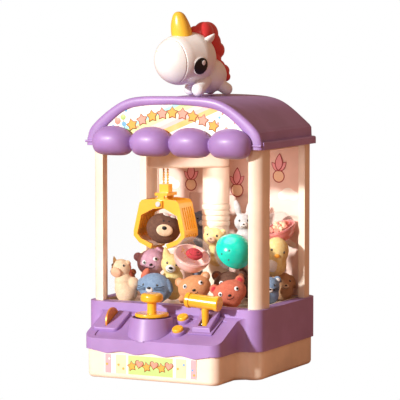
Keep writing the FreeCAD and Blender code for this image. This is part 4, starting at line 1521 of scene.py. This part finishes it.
    def horn(self) -> None:
        """Builds the blunt horn."""
        clay = Clay()
        profile = [
            (12.1, -4.0),
            (12.1, 0.0),
            (11.8, 4.0),
            (11.0, 9.0),
            (9.7, 13.5),
            (8.2, 17.5),
            (6.8, 20.4),
            (4.9, 22.6),
            (2.6, 23.9),
            (0.0, 24.3),
        ]
        profile = [(r, z) for r, z in smooth_profile(profile)]
        lean = Matrix.Identity(4)
        lean[1][2] = -0.20
        clay.lathe(profile, Finish.HORN, moved(0, -27.0, 386.0) @ lean, 56)
        self.settle(clay, "unicorn_horn_cone", ["unicorn_horn"], 0.0, 0, "horn_yellow")

    def mane(self) -> None:
        """Builds the curl on top and the wavy lock down the neck."""
        clay = Clay()
        lumps = [
            ((4, 3.0, 386.0), (10.5, 12.5, 12.6)),
            ((0, 12.0, 384.0), (9.5, 15.5, 14.6)),
            ((0, -7.0, 387.0), (6.5, 7.0, 6.8)),
            ((0, 21.0, 374.0), (9.0, 10.0, 12.0)),
            ((0, 27.5, 365.5), (8.5, 9.4, 10.0)),
            ((0, 22.0, 355.5), (8.0, 10.0, 9.0)),
            ((0, 28.0, 347.0), (8.0, 10.0, 8.0)),
            ((0, 36.0, 341.5), (7.6, 9.0, 8.0)),
            ((0, 41.0, 334.5), (5.6, 6.0, 5.6)),
        ]
        for centre, radii in lumps:
            clay.ball(centre, radii, Finish.MANE, None, 4)
        self.settle(clay, "unicorn_mane_curls", ["unicorn_mane"], 0.8, 4, "red_mane")

    def build(self) -> None:
        """Builds every part."""
        self.body()
        self.skull()
        self.face()
        self.horn()
        self.mane()


def upright_roll(place: Matrix, up: Vector) -> Matrix:
    """A turn about the plane's own Z that stands its Y upright.

    Args:
        place: the plane.
        up: what counts as up.

    Returns:
        The turn.
    """
    local = place.to_3x3().inverted() @ up
    return Matrix.Rotation(math.atan2(-local.x, local.y), 4, "Z")


def smooth_profile(profile: Outline, count: int = 36) -> list[tuple[float, float]]:
    """A turned profile with more points along the same curve."""
    return [(max(0.0, r), z) for r, z in curve_through(profile, count)]


class Ears(Enum):
    """Shapes of ear on the soft prizes."""

    ROUND = "round"
    POINTED = "pointed"
    LONG = "long"
    FLOPPED = "flopped"
    NONE = "none"


@dataclass
class Friend:
    """One soft prize: a stuffed head and body with a stitched face."""

    name: str
    node: str
    head: tuple[float, float, float]
    radii: tuple[float, float, float]
    body: tuple[tuple[float, float, float, float], ...]
    fur: Finish
    lining: Finish
    ears: Ears = Ears.ROUND
    ear_size: float = 5.0
    yaw: float = 22.0
    roll: float = 0.0
    muzzle: float = 0.0
    muzzle_low: float = -14.0
    googly: float = 2.7
    eye_wide: float = 28.0
    eye_up: float = 16.0
    nose: float = 1.7
    smile: bool = True
    whiskers: bool = False

    def turn(self) -> Matrix:
        """From the head's own directions to the frame's: its -Y looks ahead."""
        yaw = turned(self.yaw, "Z")
        roll = turned(-self.roll, "Y")
        return Matrix.Translation(self.head) @ yaw @ roll

    def skin(self, wide_deg: float, up_deg: float, out: float = 0.0) -> Vector:
        """A point on the head.

        Args:
            wide_deg: to the side from straight ahead.
            up_deg: above straight ahead.
            out: how far off the skin.

        Returns:
            The point in the frame.
        """
        a, e = math.radians(wide_deg), math.radians(up_deg)
        way = Vector((math.sin(a) * math.cos(e), -math.cos(a) * math.cos(e), math.sin(e)))
        spot = Vector([way[i] * self.radii[i] for i in range(3)])
        return self.turn() @ (spot + way * out)

    def facing(self, wide_deg: float, up_deg: float, out: float = 0.0) -> Matrix:
        """A plane on the head whose Z stands out and Y stands up.

        Args:
            wide_deg: to the side from straight ahead.
            up_deg: above straight ahead.
            out: how far off the skin.

        Returns:
            The plane's place.
        """
        spot = self.skin(wide_deg, up_deg, out)
        ahead = (self.skin(wide_deg, up_deg, out + 1.0) - spot).normalized()
        up = self.turn().to_3x3() @ Vector((0, 0, 1))
        side = up.cross(ahead).normalized()
        plane = Matrix((side, ahead.cross(side), ahead)).transposed().to_4x4()
        return Matrix.Translation(spot) @ plane

    def add_ears(self, clay: Clay) -> None:
        """Adds the ears to the fur."""
        size = self.ear_size
        for side in SIDES:
            if self.ears is Ears.ROUND:
                place = self.turn() @ moved(
                    side * self.radii[0] * 0.80, self.radii[1] * 0.1, self.radii[2] * 0.68
                )
                clay.ball(MIDDLE, (size, size * 0.55, size), self.fur, place)
            elif self.ears is Ears.POINTED:
                place = self.turn() @ moved(
                    side * self.radii[0] * 0.62, 0, self.radii[2] * 0.62
                ) @ turned(side * 24, "Y")
                clay.lathe(
                    [(size * 0.8, 0), (size * 0.62, size * 0.7), (size * 0.3, size * 1.5), (0, size * 1.9)],
                    self.fur,
                    place @ Matrix.Diagonal((1, 0.5, 1, 1)),
                    20,
                )
            elif self.ears is Ears.LONG:
                place = self.turn() @ moved(
                    side * self.radii[0] * 0.5, 0, self.radii[2] * 0.8
                ) @ turned(side * 12, "Y")
                clay.ball(
                    MIDDLE, (size * 0.5, size * 0.35, size * 1.3), self.fur, place @ moved(0, 0, size)
                )
            elif self.ears is Ears.FLOPPED:
                place = self.turn() @ moved(
                    side * self.radii[0] * 0.98, 0, self.radii[2] * 0.1
                ) @ turned(side * -18, "Y")
                clay.ball(MIDDLE, (size * 0.42, size * 0.7, size * 1.25), self.fur, place)

    def fur_piece(self) -> bpy.types.Object:
        """Builds the stuffed fur."""
        clay = Clay()
        clay.ball(MIDDLE, self.radii, self.fur, self.turn(), 4)
        for x, y, z, r in self.body:
            clay.ball((x, y, z), (r, r, r), self.fur, None, 4)
        if self.ears is not Ears.NONE:
            self.add_ears(clay)
        piece = clay.piece(f"{self.name}_fur", "cabinet", self.slot(), [self.node])
        sculpt(piece, 0.9, 5, 0.28)
        return piece

    def slot(self) -> str:
        """The record's slot for this kind of prize."""
        return "bear_plush" if self.node == "prize_bears" else "animal_plush"

    def face_piece(self) -> None:
        """Builds muzzle, nose, eyes (plain black ones with a painted highlight) and stitches."""
        clay = Clay()
        if self.muzzle:
            clay.ball(
                MIDDLE,
                (self.muzzle * 1.2, self.muzzle, self.muzzle * 0.5),
                self.lining,
                self.facing(0, self.muzzle_low),
                3,
            )
        tip = self.facing(0, self.muzzle_low + 8, self.muzzle * 0.5)
        if self.nose:
            clay.ball(MIDDLE, (self.nose * 1.25, self.nose * 0.85, self.nose * 0.6), Finish.BLACK, tip, 3)
        for side in SIDES:
            eye = self.facing(side * self.eye_wide, self.eye_up)
            if self.googly:
                clay.ball(MIDDLE, (self.googly, self.googly, 0.9), Finish.WHITE, eye @ moved(0, 0, 0.1), 3)
                pupil = eye @ moved(self.googly * 0.22, -self.googly * 0.1, 0.85)
                clay.ball(MIDDLE, (self.googly * 0.55, self.googly * 0.55, 0.4), Finish.BLACK, pupil, 3)
            else:
                clay.ball(MIDDLE, (1.25, 1.45, 0.8), Finish.BLACK, eye, 3)
                # Painted highlight: a tiny white dot on the black eye stands in for a glint.
                clay.ball(MIDDLE, (0.35, 0.35, 0.2), Finish.WHITE, eye @ moved(0.4, 0.5, 0.7), 2)
            if self.whiskers:
                for k in (-1, 0, 1):
                    start = self.skin(side * 16, self.muzzle_low + 4 + k * 4, 0.3)
                    end = self.skin(side * 52, self.muzzle_low + 5 + k * 9, 1.2)
                    clay.tube([start, (start + end) / 2 + Vector((0, -0.6, 0)), end], 0.34, Finish.BLACK, 6)
            if self.ears is Ears.ROUND:
                inner = self.turn() @ moved(
                    side * self.radii[0] * 0.80,
                    self.radii[1] * 0.1 - self.ear_size * 0.42,
                    self.radii[2] * 0.68,
                )
                clay.ball(
                    MIDDLE,
                    (self.ear_size * 0.58, self.ear_size * 0.22, self.ear_size * 0.58),
                    self.lining,
                    inner,
                )
        if self.smile:
            bow = []
            for k in range(9):
                a = math.pi * (k / 8 - 0.5)
                bow.append(
                    self.skin(
                        math.sin(a) * 12, self.muzzle_low - 2 - 7 * math.cos(a), 0.25 + self.muzzle * 0.42
                    )
                )
            clay.tube(bow, 0.32, Finish.BLACK, 6)
        if clay.points:
            piece = clay.piece(f"{self.name}_face", "cabinet", self.slot())

    def build(self) -> None:
        """Builds the prize."""
        self.fur_piece()
        self.face_piece()


def prize_pile() -> list[Friend]:
    """The soft prizes, each where its CAD solid lies."""
    bears, animals = "prize_bears", "prize_animals"
    return [
        Friend(
            "tan_bear",
            bears,
            (12.0, -19.0, 98.0),
            (19.0, 13.5, 14.2),
            ((13.6, -17.5, 88.0, 11.0), (0.5, -26.5, 85.0, 4.6), (27, -26.5, 85.5, 4.6)),
            Finish.TAN_FUR,
            Finish.PEACH_FUR,
            ear_size=5.6,
            roll=14,
            eye_wide=31,
            eye_up=20,
        ),
        Friend(
            "coral_bear",
            bears,
            (56.5, -19.0, 94.5),
            (19.2, 13.5, 14.4),
            ((58.5, -17.5, 88.0, 11.0),),
            Finish.CORAL_FUR,
            Finish.ROSE_FELT,
            ear_size=5.6,
            roll=20,
            eye_wide=31,
            eye_up=12,
        ),
        Friend(
            "lavender_bear",
            bears,
            (-63.0, 20.0, 119.5),
            (17.0, 14.0, 15.2),
            ((-64, 22, 98, 13.2), (-64, 22, 90, 13.2)),
            Finish.LAVENDER_FUR,
            Finish.LAVENDER_FUR,
            ear_size=5.4,
            roll=17,
            eye_wide=24,
            eye_up=12,
        ),
        Friend(
            "rust_bear",
            bears,
            (-86.0, -2.0, 101.5),
            (11.8, 11.0, 11.4),
            ((-85.5, -2.0, 87.5, 10.0),),
            Finish.RUST_FUR,
            Finish.TAN_FUR,
            ear_size=4.0,
            yaw=8,
            muzzle=3.8,
            googly=2.6,
        ),
        Friend(
            "dark_bear",
            bears,
            (38.0, 17.0, 97.5),
            (17.5, 16.5, 16.5),
            ((38, 17, 93, 16.5),),
            Finish.BROWN_FUR,
            Finish.RUST_FUR,
            ear_size=6.0,
            muzzle=5.0,
        ),
        Friend(
            "llama",
            animals,
            (-80.0, -23.5, 115.5),
            (11.4, 10.6, 11.2),
            (
                (-76, -24.5, 101, 10.6),
                (-74.5, -25, 93, 11.6),
                (-72.5, -24, 88.5, 12.6),
                (-65.0, -23.0, 99.0, 7.6),
            ),
            Finish.CREAM_FUR,
            Finish.PEACH_FUR,
            Ears.ROUND,
            3.0,
            yaw=-8,
            muzzle=6.2,
            muzzle_low=-18,
            googly=0,
            eye_wide=52,
            eye_up=24,
            nose=0,
            smile=False,
        ),
        Friend(
            "seal",
            animals,
            (-39.0, -19.0, 96.5),
            (19.5, 15.0, 15.5),
            ((-33.5, -17.0, 94.0, 14.6), (-38, -17, 91, 14.5)),
            Finish.BLUE_FUR,
            Finish.WHITE_FUR,
            Ears.FLOPPED,
            6.5,
            yaw=4,
            muzzle=3.4,
            muzzle_low=-8,
            googly=0,
            eye_wide=27,
            eye_up=12,
            nose=1.8,
            whiskers=True,
            smile=False,
        ),
        Friend(
            "cat",
            animals,
            (-32.0, 10.5, 119.8),
            (12.4, 11.5, 11.8),
            ((-34, 17, 103, 12.0), (-34, 18, 89, 12.0)),
            Finish.YELLOW_FUR,
            Finish.WHITE_FUR,
            Ears.POINTED,
            6.5,
            yaw=26,
            roll=-14,
            muzzle=5.0,
            muzzle_low=-22,
            googly=0,
            eye_wide=26,
            eye_up=6,
            nose=2.0,
        ),
        Friend(
            "giraffe",
            animals,
            (18.5, 18.0, 153.0),
            (12.4, 10.2, 10.4),
            ((19, 22, 138, 8.8), (19, 24, 127, 8.8)),
            Finish.YELLOW_FUR,
            Finish.PEACH_FUR,
            Ears.ROUND,
            3.6,
            yaw=10,
            roll=-8,
            muzzle=4.4,
            googly=0,
            nose=0.9,
        ),
        Friend(
            "bunny",
            animals,
            (37.0, 58.5, 167.0),
            (10.8, 10.2, 10.2),
            ((39, 60, 149, 12.0),),
            Finish.GREY_FUR,
            Finish.WHITE_FUR,
            Ears.LONG,
            8.0,
            yaw=26,
            muzzle=3.6,
            googly=0,
            nose=1.0,
        ),
        Friend(
            "elephant",
            animals,
            (-23.0, 72.5, 166.0),
            (12.0, 11.2, 11.2),
            ((-23, 73, 146, 12), (-23, 73, 125, 12), (-23, 73, 104, 12), (-23, 73, 89, 12)),
            Finish.SLATE_FUR,
            Finish.GREY_FUR,
            Ears.FLOPPED,
            7.0,
            yaw=26,
            muzzle=3.8,
            googly=0,
            nose=0,
            smile=False,
        ),
        Friend(
            "chick",
            animals,
            (82.5, 49.0, 136.0),
            (14.8, 14.0, 16.5),
            ((80, 50, 121, 14.2), (80, 50, 127, 14.2)),
            Finish.YELLOW_FUR,
            Finish.ORANGE_CARD,
            Ears.NONE,
            yaw=34,
            roll=-14,
            muzzle=2.6,
            muzzle_low=-14,
            googly=0,
            eye_wide=30,
            eye_up=6,
            nose=0,
            smile=False,
        ),
        Friend(
            "mouse",
            animals,
            (82.0, 31.0, 97.0),
            (12.4, 11.6, 11.6),
            ((82, 31, 88.5, 11.6),),
            Finish.BLUE_FUR,
            Finish.WHITE_FUR,
            Ears.ROUND,
            4.6,
            yaw=30,
            muzzle=3.2,
            googly=0,
            nose=1.3,
            whiskers=True,
        ),
        Friend(
            "rabbit",
            animals,
            (80.5, 73.5, 97.0),
            (12.4, 12.0, 12.0),
            ((80.5, 73.5, 89, 12.0),),
            Finish.BEIGE_FUR,
            Finish.CREAM_FUR,
            Ears.FLOPPED,
            6.8,
            yaw=40,
            muzzle=3.4,
            googly=0,
            nose=1.2,
        ),
        Friend(
            "big_bear",
            animals,
            (46.0, 64.0, 118.0),
            (17.0, 16.5, 16.5),
            ((46, 64, 94.5, 17.5),),
            Finish.BROWN_FUR,
            Finish.BEIGE_FUR,
            Ears.ROUND,
            6.0,
            yaw=30,
            muzzle=5.4,
        ),
    ]


@dataclass
class PileExtras:
    """Small stitched parts that only some prizes have."""

    def llama_horn(self) -> None:
        """Builds the llama's small horn and its tuft of mane."""
        clay = Clay()
        clay.lathe(
            [(2.9, 0), (2.3, 3.0), (1.3, 6.5), (0.0, 9.0)],
            Finish.YELLOW_FUR,
            moved(-86.0, -26.0, 121.5) @ turned(-14, "Y"),
            20,
        )
        horn = clay.piece("llama_horn", "cabinet", "animal_plush")
        locks = Clay()
        for k in range(6):
            t = k / 5
            locks.ball((-72.0 + 3.0 * t, -21.0, 121.0 - 20.0 * t), (3.0, 3.4, 3.6), Finish.CORAL_FUR)
        piece = locks.piece("llama_tuft", "cabinet", "animal_plush")
        sculpt(piece, 0.7, 3, 0.2)

    def chick_belly(self) -> None:
        """Builds the chick's pale belly patch."""
        clay = Clay()
        turn = turned(30, "Z")
        clay.ball(MIDDLE, (7.6, 4.0, 8.4), Finish.WHITE_FUR, moved(83.2, 39.4, 121.5) @ turn, 4)
        piece = clay.piece("chick_belly", "cabinet", "animal_plush")

    def seal_wrap(self) -> None:
        """Builds the peach ear tucked beside the seal."""
        clay = Clay()
        clay.ball(
            MIDDLE, (4.2, 3.4, 8.0), Finish.CORAL_FUR, moved(-52.5, -16.0, 110.0) @ turned(34, "Y"), 3
        )
        piece = clay.piece("seal_ear", "cabinet", "animal_plush")
        sculpt(piece, 0.7, 3, 0.2)

    def build(self) -> None:
        """Builds every extra."""
        self.llama_horn()
        self.chick_belly()
        self.seal_wrap()


@dataclass
class Capsule:
    """A two-part prize capsule."""

    name: str
    centre: tuple[float, float, float]
    radius: float
    way: tuple[float, float, float]
    cup: Finish
    lid: Finish
    wall: float = 1.3

    def place(self) -> Matrix:
        """From the capsule's own axis to the frame's."""
        return Matrix.Translation(self.centre) @ lined_up(Vector(self.way).normalized())

    def cup_piece(self) -> None:
        """Builds the coloured half with its double rim."""
        r, t = self.radius, self.wall
        outer = [(r * math.sin(a), -r * math.cos(a)) for a in np.linspace(0, math.pi / 2 - 0.20, 26)]
        rim = [
            (r + 0.05, -r * 0.17),
            (r + 0.35, -r * 0.13),
            (r + 0.35, -r * 0.09),
            (r - 0.25, -r * 0.075),
            (r + 0.35, -r * 0.06),
            (r + 0.35, -0.25),
            (r - t, -0.25),
        ]
        inner = [
            ((r - t) * math.sin(a), -(r - t) * math.cos(a)) for a in np.linspace(math.pi / 2 - 0.1, 0, 24)
        ]
        clay = Clay()
        clay.lathe(outer + rim + inner, self.cup, self.place(), 64)
        clay.piece(f"{self.name}_cup", "cabinet", "capsule_colour", ["capsule_cups"])

    def lid_piece(self) -> None:
        """Builds the clear half."""
        r, t = self.radius - 0.15, self.wall
        inner = [((r - t) * math.cos(a), (r - t) * math.sin(a)) for a in np.linspace(math.pi / 2, 0.04, 22)]
        outer = [(r * math.cos(a), r * math.sin(a)) for a in np.linspace(0.02, math.pi / 2, 24)]
        clay = Clay()
        clay.lathe(inner + outer, self.lid, self.place(), 64)
        clay.piece(f"{self.name}_lid", "cabinet", "capsule_clear", ["capsule_lids"])

    def rose(self) -> None:
        """Builds a rolled rose and shavings inside."""
        clay = Clay()
        turns = 3.2
        spiral = []
        for k in range(90):
            t = k / 89
            a = 2 * math.pi * turns * t
            spiral.append(
                self.place()
                @ Vector((8.6 * t * math.cos(a) + 2, 8.6 * t * math.sin(a), 7.0 - 5.0 * t**1.5))
            )
        clay.tube(spiral, 1.9, Finish.ROSE_FELT, 10)
        clay.ball((2, 0, 0.5), (9.5, 9.5, 4.0), Finish.ROSE_FELT, self.place(), 3)
        chance = random.Random(3)
        for _ in range(22):
            a, r = chance.uniform(0, 2 * math.pi), chance.uniform(6.0, 14.0)
            start = Vector((r * math.cos(a), r * math.sin(a), chance.uniform(-1, 2)))
            way = Vector((chance.uniform(-1, 1), chance.uniform(-1, 1), chance.uniform(0.2, 1.2))) * 3.2
            clay.tube([self.place() @ start, self.place() @ (start + way)], 0.4, Finish.CHAIN, 6, 0.6)
        clay.piece(f"{self.name}_rose", "cabinet", "capsule_colour")

    def crystals(self) -> None:
        """Builds faceted candy shards inside."""
        clay = Clay()
        chance = random.Random(5)
        for k in range(26):
            a, r = chance.uniform(0, 2 * math.pi), chance.uniform(0, 11.5)
            tall = chance.uniform(4.5, 9.0)
            spin = Euler((chance.uniform(-0.6, 0.6), chance.uniform(-0.6, 0.6), a)).to_matrix().to_4x4()
            place = self.place() @ moved(r * math.cos(a), r * math.sin(a), -3.0) @ spin
            tint = Finish.PEACH_CARD if k % 2 else Finish.SALMON_CARD
            clay.lathe([(0.0, -1.0), (2.6, 0.5), (2.3, tall * 0.7), (0.0, tall)], tint, place, 6)
        clay.piece(f"{self.name}_candy", "cabinet", "capsule_colour", (), 20.0)

    def dots(self, spots: Sequence[Point]) -> None:
        """Builds black dots on the cup: painted shade that stands for small vent holes.

        Args:
            spots: where they are, in the frame.
        """
        clay = Clay()
        for spot in spots:
            out = (Vector(spot) - Vector(self.centre)).normalized()
            look = lined_up(out)
            # Painted shade: a flat black dot in place of the shade inside a vent hole.
            clay.ball(
                MIDDLE,
                (1.0, 1.0, 0.35),
                Finish.BLACK,
                Matrix.Translation(Vector(self.centre) + out * self.radius) @ look,
                2,
            )
        clay.piece(f"{self.name}_painted_vent_shade", "cabinet", "capsule_colour")

    def build(self) -> None:
        """Builds both halves."""
        self.cup_piece()
        self.lid_piece()


@dataclass
class Grab:
    """Bead chains and the prize that the claw holds."""

    bear: tuple[float, float, float] = (-43.0, 11.5, 160.5)
    radii: tuple[float, float, float] = (19.8, 14.0, 17.8)
    bead: float = 1.35
    pitch: float = 3.1

    def chains(self) -> None:
        """Builds the bead chains between arm and claw."""
        clay = Clay()
        for low, high in islands("chains"):
            x, y = (low.x + high.x) / 2, (low.y + high.y) / 2
            count = int((high.z - low.z) / self.pitch)
            for k in range(count + 1):
                z = low.z + self.bead + (high.z - low.z - 2 * self.bead) * k / count
                clay.ball((x, y, z), (self.bead, self.bead, self.bead * 1.05), Finish.CHAIN, None, 2)
            clay.tube([(x, y, low.z + 0.3), (x, y, high.z - 0.3)], 0.45, Finish.CHAIN, 8)
        piece = clay.piece("bead_chains", "arm", "gold_chain", ["chains"])
        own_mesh(piece)

    def held_bear(self) -> None:
        """Builds the bear's head in the claw."""
        bear = Friend(
            "held_bear",
            "held_bear",
            self.bear,
            self.radii,
            (),
            Finish.BROWN_FUR,
            Finish.CREAM_FUR,
            Ears.NONE,
            yaw=24,
            roll=-8,
            muzzle=8.0,
            muzzle_low=-4,
            googly=0,
            eye_wide=14,
            eye_up=36,
            nose=2.7,
            smile=False,
        )
        clay = Clay()
        clay.ball(MIDDLE, bear.radii, bear.fur, bear.turn(), 5)
        fur = clay.piece("held_bear_fur", "claw", "brown_plush", ["held_bear"])
        sculpt(fur, 0.8, 4, 0.3)
        face = Clay()
        face.ball(MIDDLE, (9.6, 7.0, 2.6), Finish.CREAM_FUR, bear.facing(6, -2), 4)
        face.ball(MIDDLE, (3.0, 2.3, 1.6), Finish.BLACK, bear.facing(4, 6, 2.2), 3)
        for wide in (-2, 20):
            face.ball(MIDDLE, (1.1, 1.1, 0.6), Finish.BLACK, bear.facing(wide, 34), 2)
        for side in SIDES:
            bow = bear.facing(34, 62, 0.5) @ turned(-22, "Z") @ moved(side * 4.0, 0, 0.4)
            face.ball(MIDDLE, (4.4, 3.0, 1.2), Finish.WHITE_FUR, bow, 3)
        face.ball(MIDDLE, (1.5, 1.5, 1.6), Finish.PINK_CARD, bear.facing(34, 62, 1.0), 2)
        marks = face.piece("held_bear_face", "claw", "brown_plush")

    def build(self) -> None:
        """Builds every part."""
        self.chains()
        self.held_bear()


@dataclass
class Controls:
    """Raised marks on the control deck's button caps."""

    def cap_mark(self, node: str, finish: Finish) -> None:
        """Raises a small heart on a button cap.

        Args:
            node: the cap's CAD node, which is also its body.
            finish: the mark's finish.
        """
        source = frame["nodes"][node]
        faces = [p for p in source.data.polygons if p.normal.z > 0.8]
        best = max(faces, key=lambda p: p.area)
        up = best.normal.copy()
        spread = [source.data.vertices[i].co for i in best.vertices]
        centre = sum(spread, Vector()) / len(spread) / MM
        look = lined_up(up)
        clay = Clay()
        clay.plate(heart(2.6), 0.35, finish, Matrix.Translation(centre) @ look)
        clay.piece(f"{node}_mark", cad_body(node), "yellow_plastic")

    def build(self) -> None:
        """Builds every part."""
        for node in ("button_upper", "button_lower"):
            self.cap_mark(node, Finish.YELLOW)


@dataclass
class Studio:
    """Floor, light and camera."""

    eye: tuple[float, float, float] = (1190.06, -2401.94, 425.41)
    target: tuple[float, float, float] = (31.98, -45.5, 200.6)
    lens: float = 212.1
    bounce: tuple[float, float, float] = (1.0, 0.58, 0.38)
    bounce_power: float = 0.42
    key_power: float = 4.5
    key_soft_deg: float = 4.0
    key_colour: tuple[float, float, float] = (0.93, 0.97, 0.96)

    def floor(self) -> None:
        """Lays a floor that looks white and throws a warm bounce."""
        shade = Shade("floor_white")
        tone = shade.noise(240.0, 2.0)
        shade.surface.inputs["Specular IOR Level"].default_value = 0.1
        material = shade.dress(
            Base_Color=shade.mix(tone, (0.50, 0.26, 0.15), (0.56, 0.29, 0.17)), Roughness=0.85 + tone * 0.1
        )
        white = shade.node("ShaderNodeEmission", {}, {"Strength": 1.0})
        path = shade.node("ShaderNodeLightPath", {}, {})
        inputs = {0: path.out("Is Camera Ray"), 1: Socket(shade, shade.surface.outputs[0]), 2: white.out()}
        both = shade.node("ShaderNodeMixShader", {}, inputs)
        shade.tree.links.new(both.raw.outputs[0], shade.output.inputs[0])
        mesh = bpy.data.meshes.new("floor")
        reach = 9.0
        mesh.from_pydata(
            [(-reach, -reach, 0), (reach, -reach, 0), (reach, reach, 0), (-reach, reach, 0)],
            [],
            [(0, 1, 2, 3)],
        )
        mesh.materials.append(material)
        obj = bpy.data.objects.new("floor", mesh)
        bpy.context.scene.collection.objects.link(obj)
        obj.location.z = -0.0002

    def lamp(self, name: str, spot: Point, aim: Point, size: float, watts: float, colour: Point) -> None:
        """Hangs an area lamp.

        Args:
            name: its name.
            spot: where it hangs, in metres.
            aim: what it points at.
            size: its width in metres.
            watts: its power.
            colour: its colour.
        """
        data = bpy.data.lights.new(name, "AREA")
        data.shape = "DISK"
        data.size = size
        data.energy = watts
        data.color = colour
        lamp = bpy.data.objects.new(name, data)
        lamp.location = spot
        lamp.rotation_euler = (Vector(aim) - Vector(spot)).to_track_quat("-Z", "Y").to_euler()
        bpy.context.scene.collection.objects.link(lamp)

    def sun(self, way: Point) -> None:
        """Sets the even key light.

        Args:
            way: the direction that it comes from.
        """
        data = bpy.data.lights.new("key", "SUN")
        data.energy = self.key_power
        data.angle = math.radians(self.key_soft_deg)
        data.color = self.key_colour
        lamp = bpy.data.objects.new("key", data)
        lamp.rotation_euler = (-Vector(way)).to_track_quat("-Z", "Y").to_euler()
        bpy.context.scene.collection.objects.link(lamp)

    def camera(self) -> None:
        """Sets up the camera."""
        data = bpy.data.cameras.new("camera")
        data.lens = self.lens
        data.sensor_width = 36.0
        data.clip_end = 50.0
        cam = bpy.data.objects.new("camera", data)
        spot = Vector(self.eye) * MM
        cam.location = spot
        cam.rotation_euler = (Vector(self.target) * MM - spot).to_track_quat("-Z", "Y").to_euler()
        bpy.context.scene.collection.objects.link(cam)
        bpy.context.scene.camera = cam

    def sky(self) -> None:
        """Sets a soft pale surround."""
        world = bpy.data.worlds.new("surround")
        world.use_nodes = True
        nodes, links = world.node_tree.nodes, world.node_tree.links
        around = nodes["Background"]
        around.inputs[0].default_value = (*self.bounce, 1.0)
        around.inputs[1].default_value = self.bounce_power
        pale = nodes.new("ShaderNodeBackground")
        pale.inputs[0].default_value = (1.0, 1.0, 1.0, 1.0)
        pale.inputs[1].default_value = 1.0
        path = nodes.new("ShaderNodeLightPath")
        both = nodes.new("ShaderNodeMixShader")
        links.new(path.outputs["Is Camera Ray"], both.inputs[0])
        links.new(around.outputs[0], both.inputs[1])
        links.new(pale.outputs[0], both.inputs[2])
        links.new(both.outputs[0], nodes["World Output"].inputs[0])
        bpy.context.scene.world = world

    def build(self) -> None:
        """Builds the studio."""
        bpy.context.scene.view_settings.view_transform = "Standard"
        self.camera()
        self.floor()
        self.sky()
        self.sun((-0.37, -0.90, 0.30))
        self.lamp("fill", (0.2, -2.2, 0.6), (0.0, 0.0, 0.2), 1.2, 5.0, (1.0, 0.93, 0.88))
        self.lamp("chamber", (0.035, -0.020, 0.228), (0.035, 0.06, 0.10), 0.10, 0.07, (1.0, 0.88, 0.86))


def main() -> None:
    """Builds the machine part by part."""
    logging.basicConfig(level=logging.INFO)
    Studio().build()
    hull_frame().dress()
    Marquee().build()
    LabelPrints().build()
    WallPrints().build()
    Mascot().build()
    for friend in prize_pile():
        friend.build()
    PileExtras().build()
    pink = Capsule("pink_capsule", (6.5, -13.5, 134.6), 21.0, (0.42, -0.30, 0.86), Finish.PINK, Finish.LID)
    pink.build()
    pink.rose()
    teal = Capsule("teal_capsule", (52.0, -1.5, 138.6), 21.2, (-0.70, 0.46, -0.54), Finish.TEAL, Finish.LID)
    teal.build()
    teal.dots([(56.9, -21.8, 142.4), (47.9, -22.3, 138.4), (56.0, -21.2, 131.9)])
    right = Capsule(
        "right_capsule", (77.0, 69.5, 162.5), 18.6, (-0.2, -0.35, 0.91), Finish.ROSE, Finish.LID
    )
    right.build()
    right.crystals()
    Grab().build()
    Controls().build()


if __name__ == "__main__":
    main()
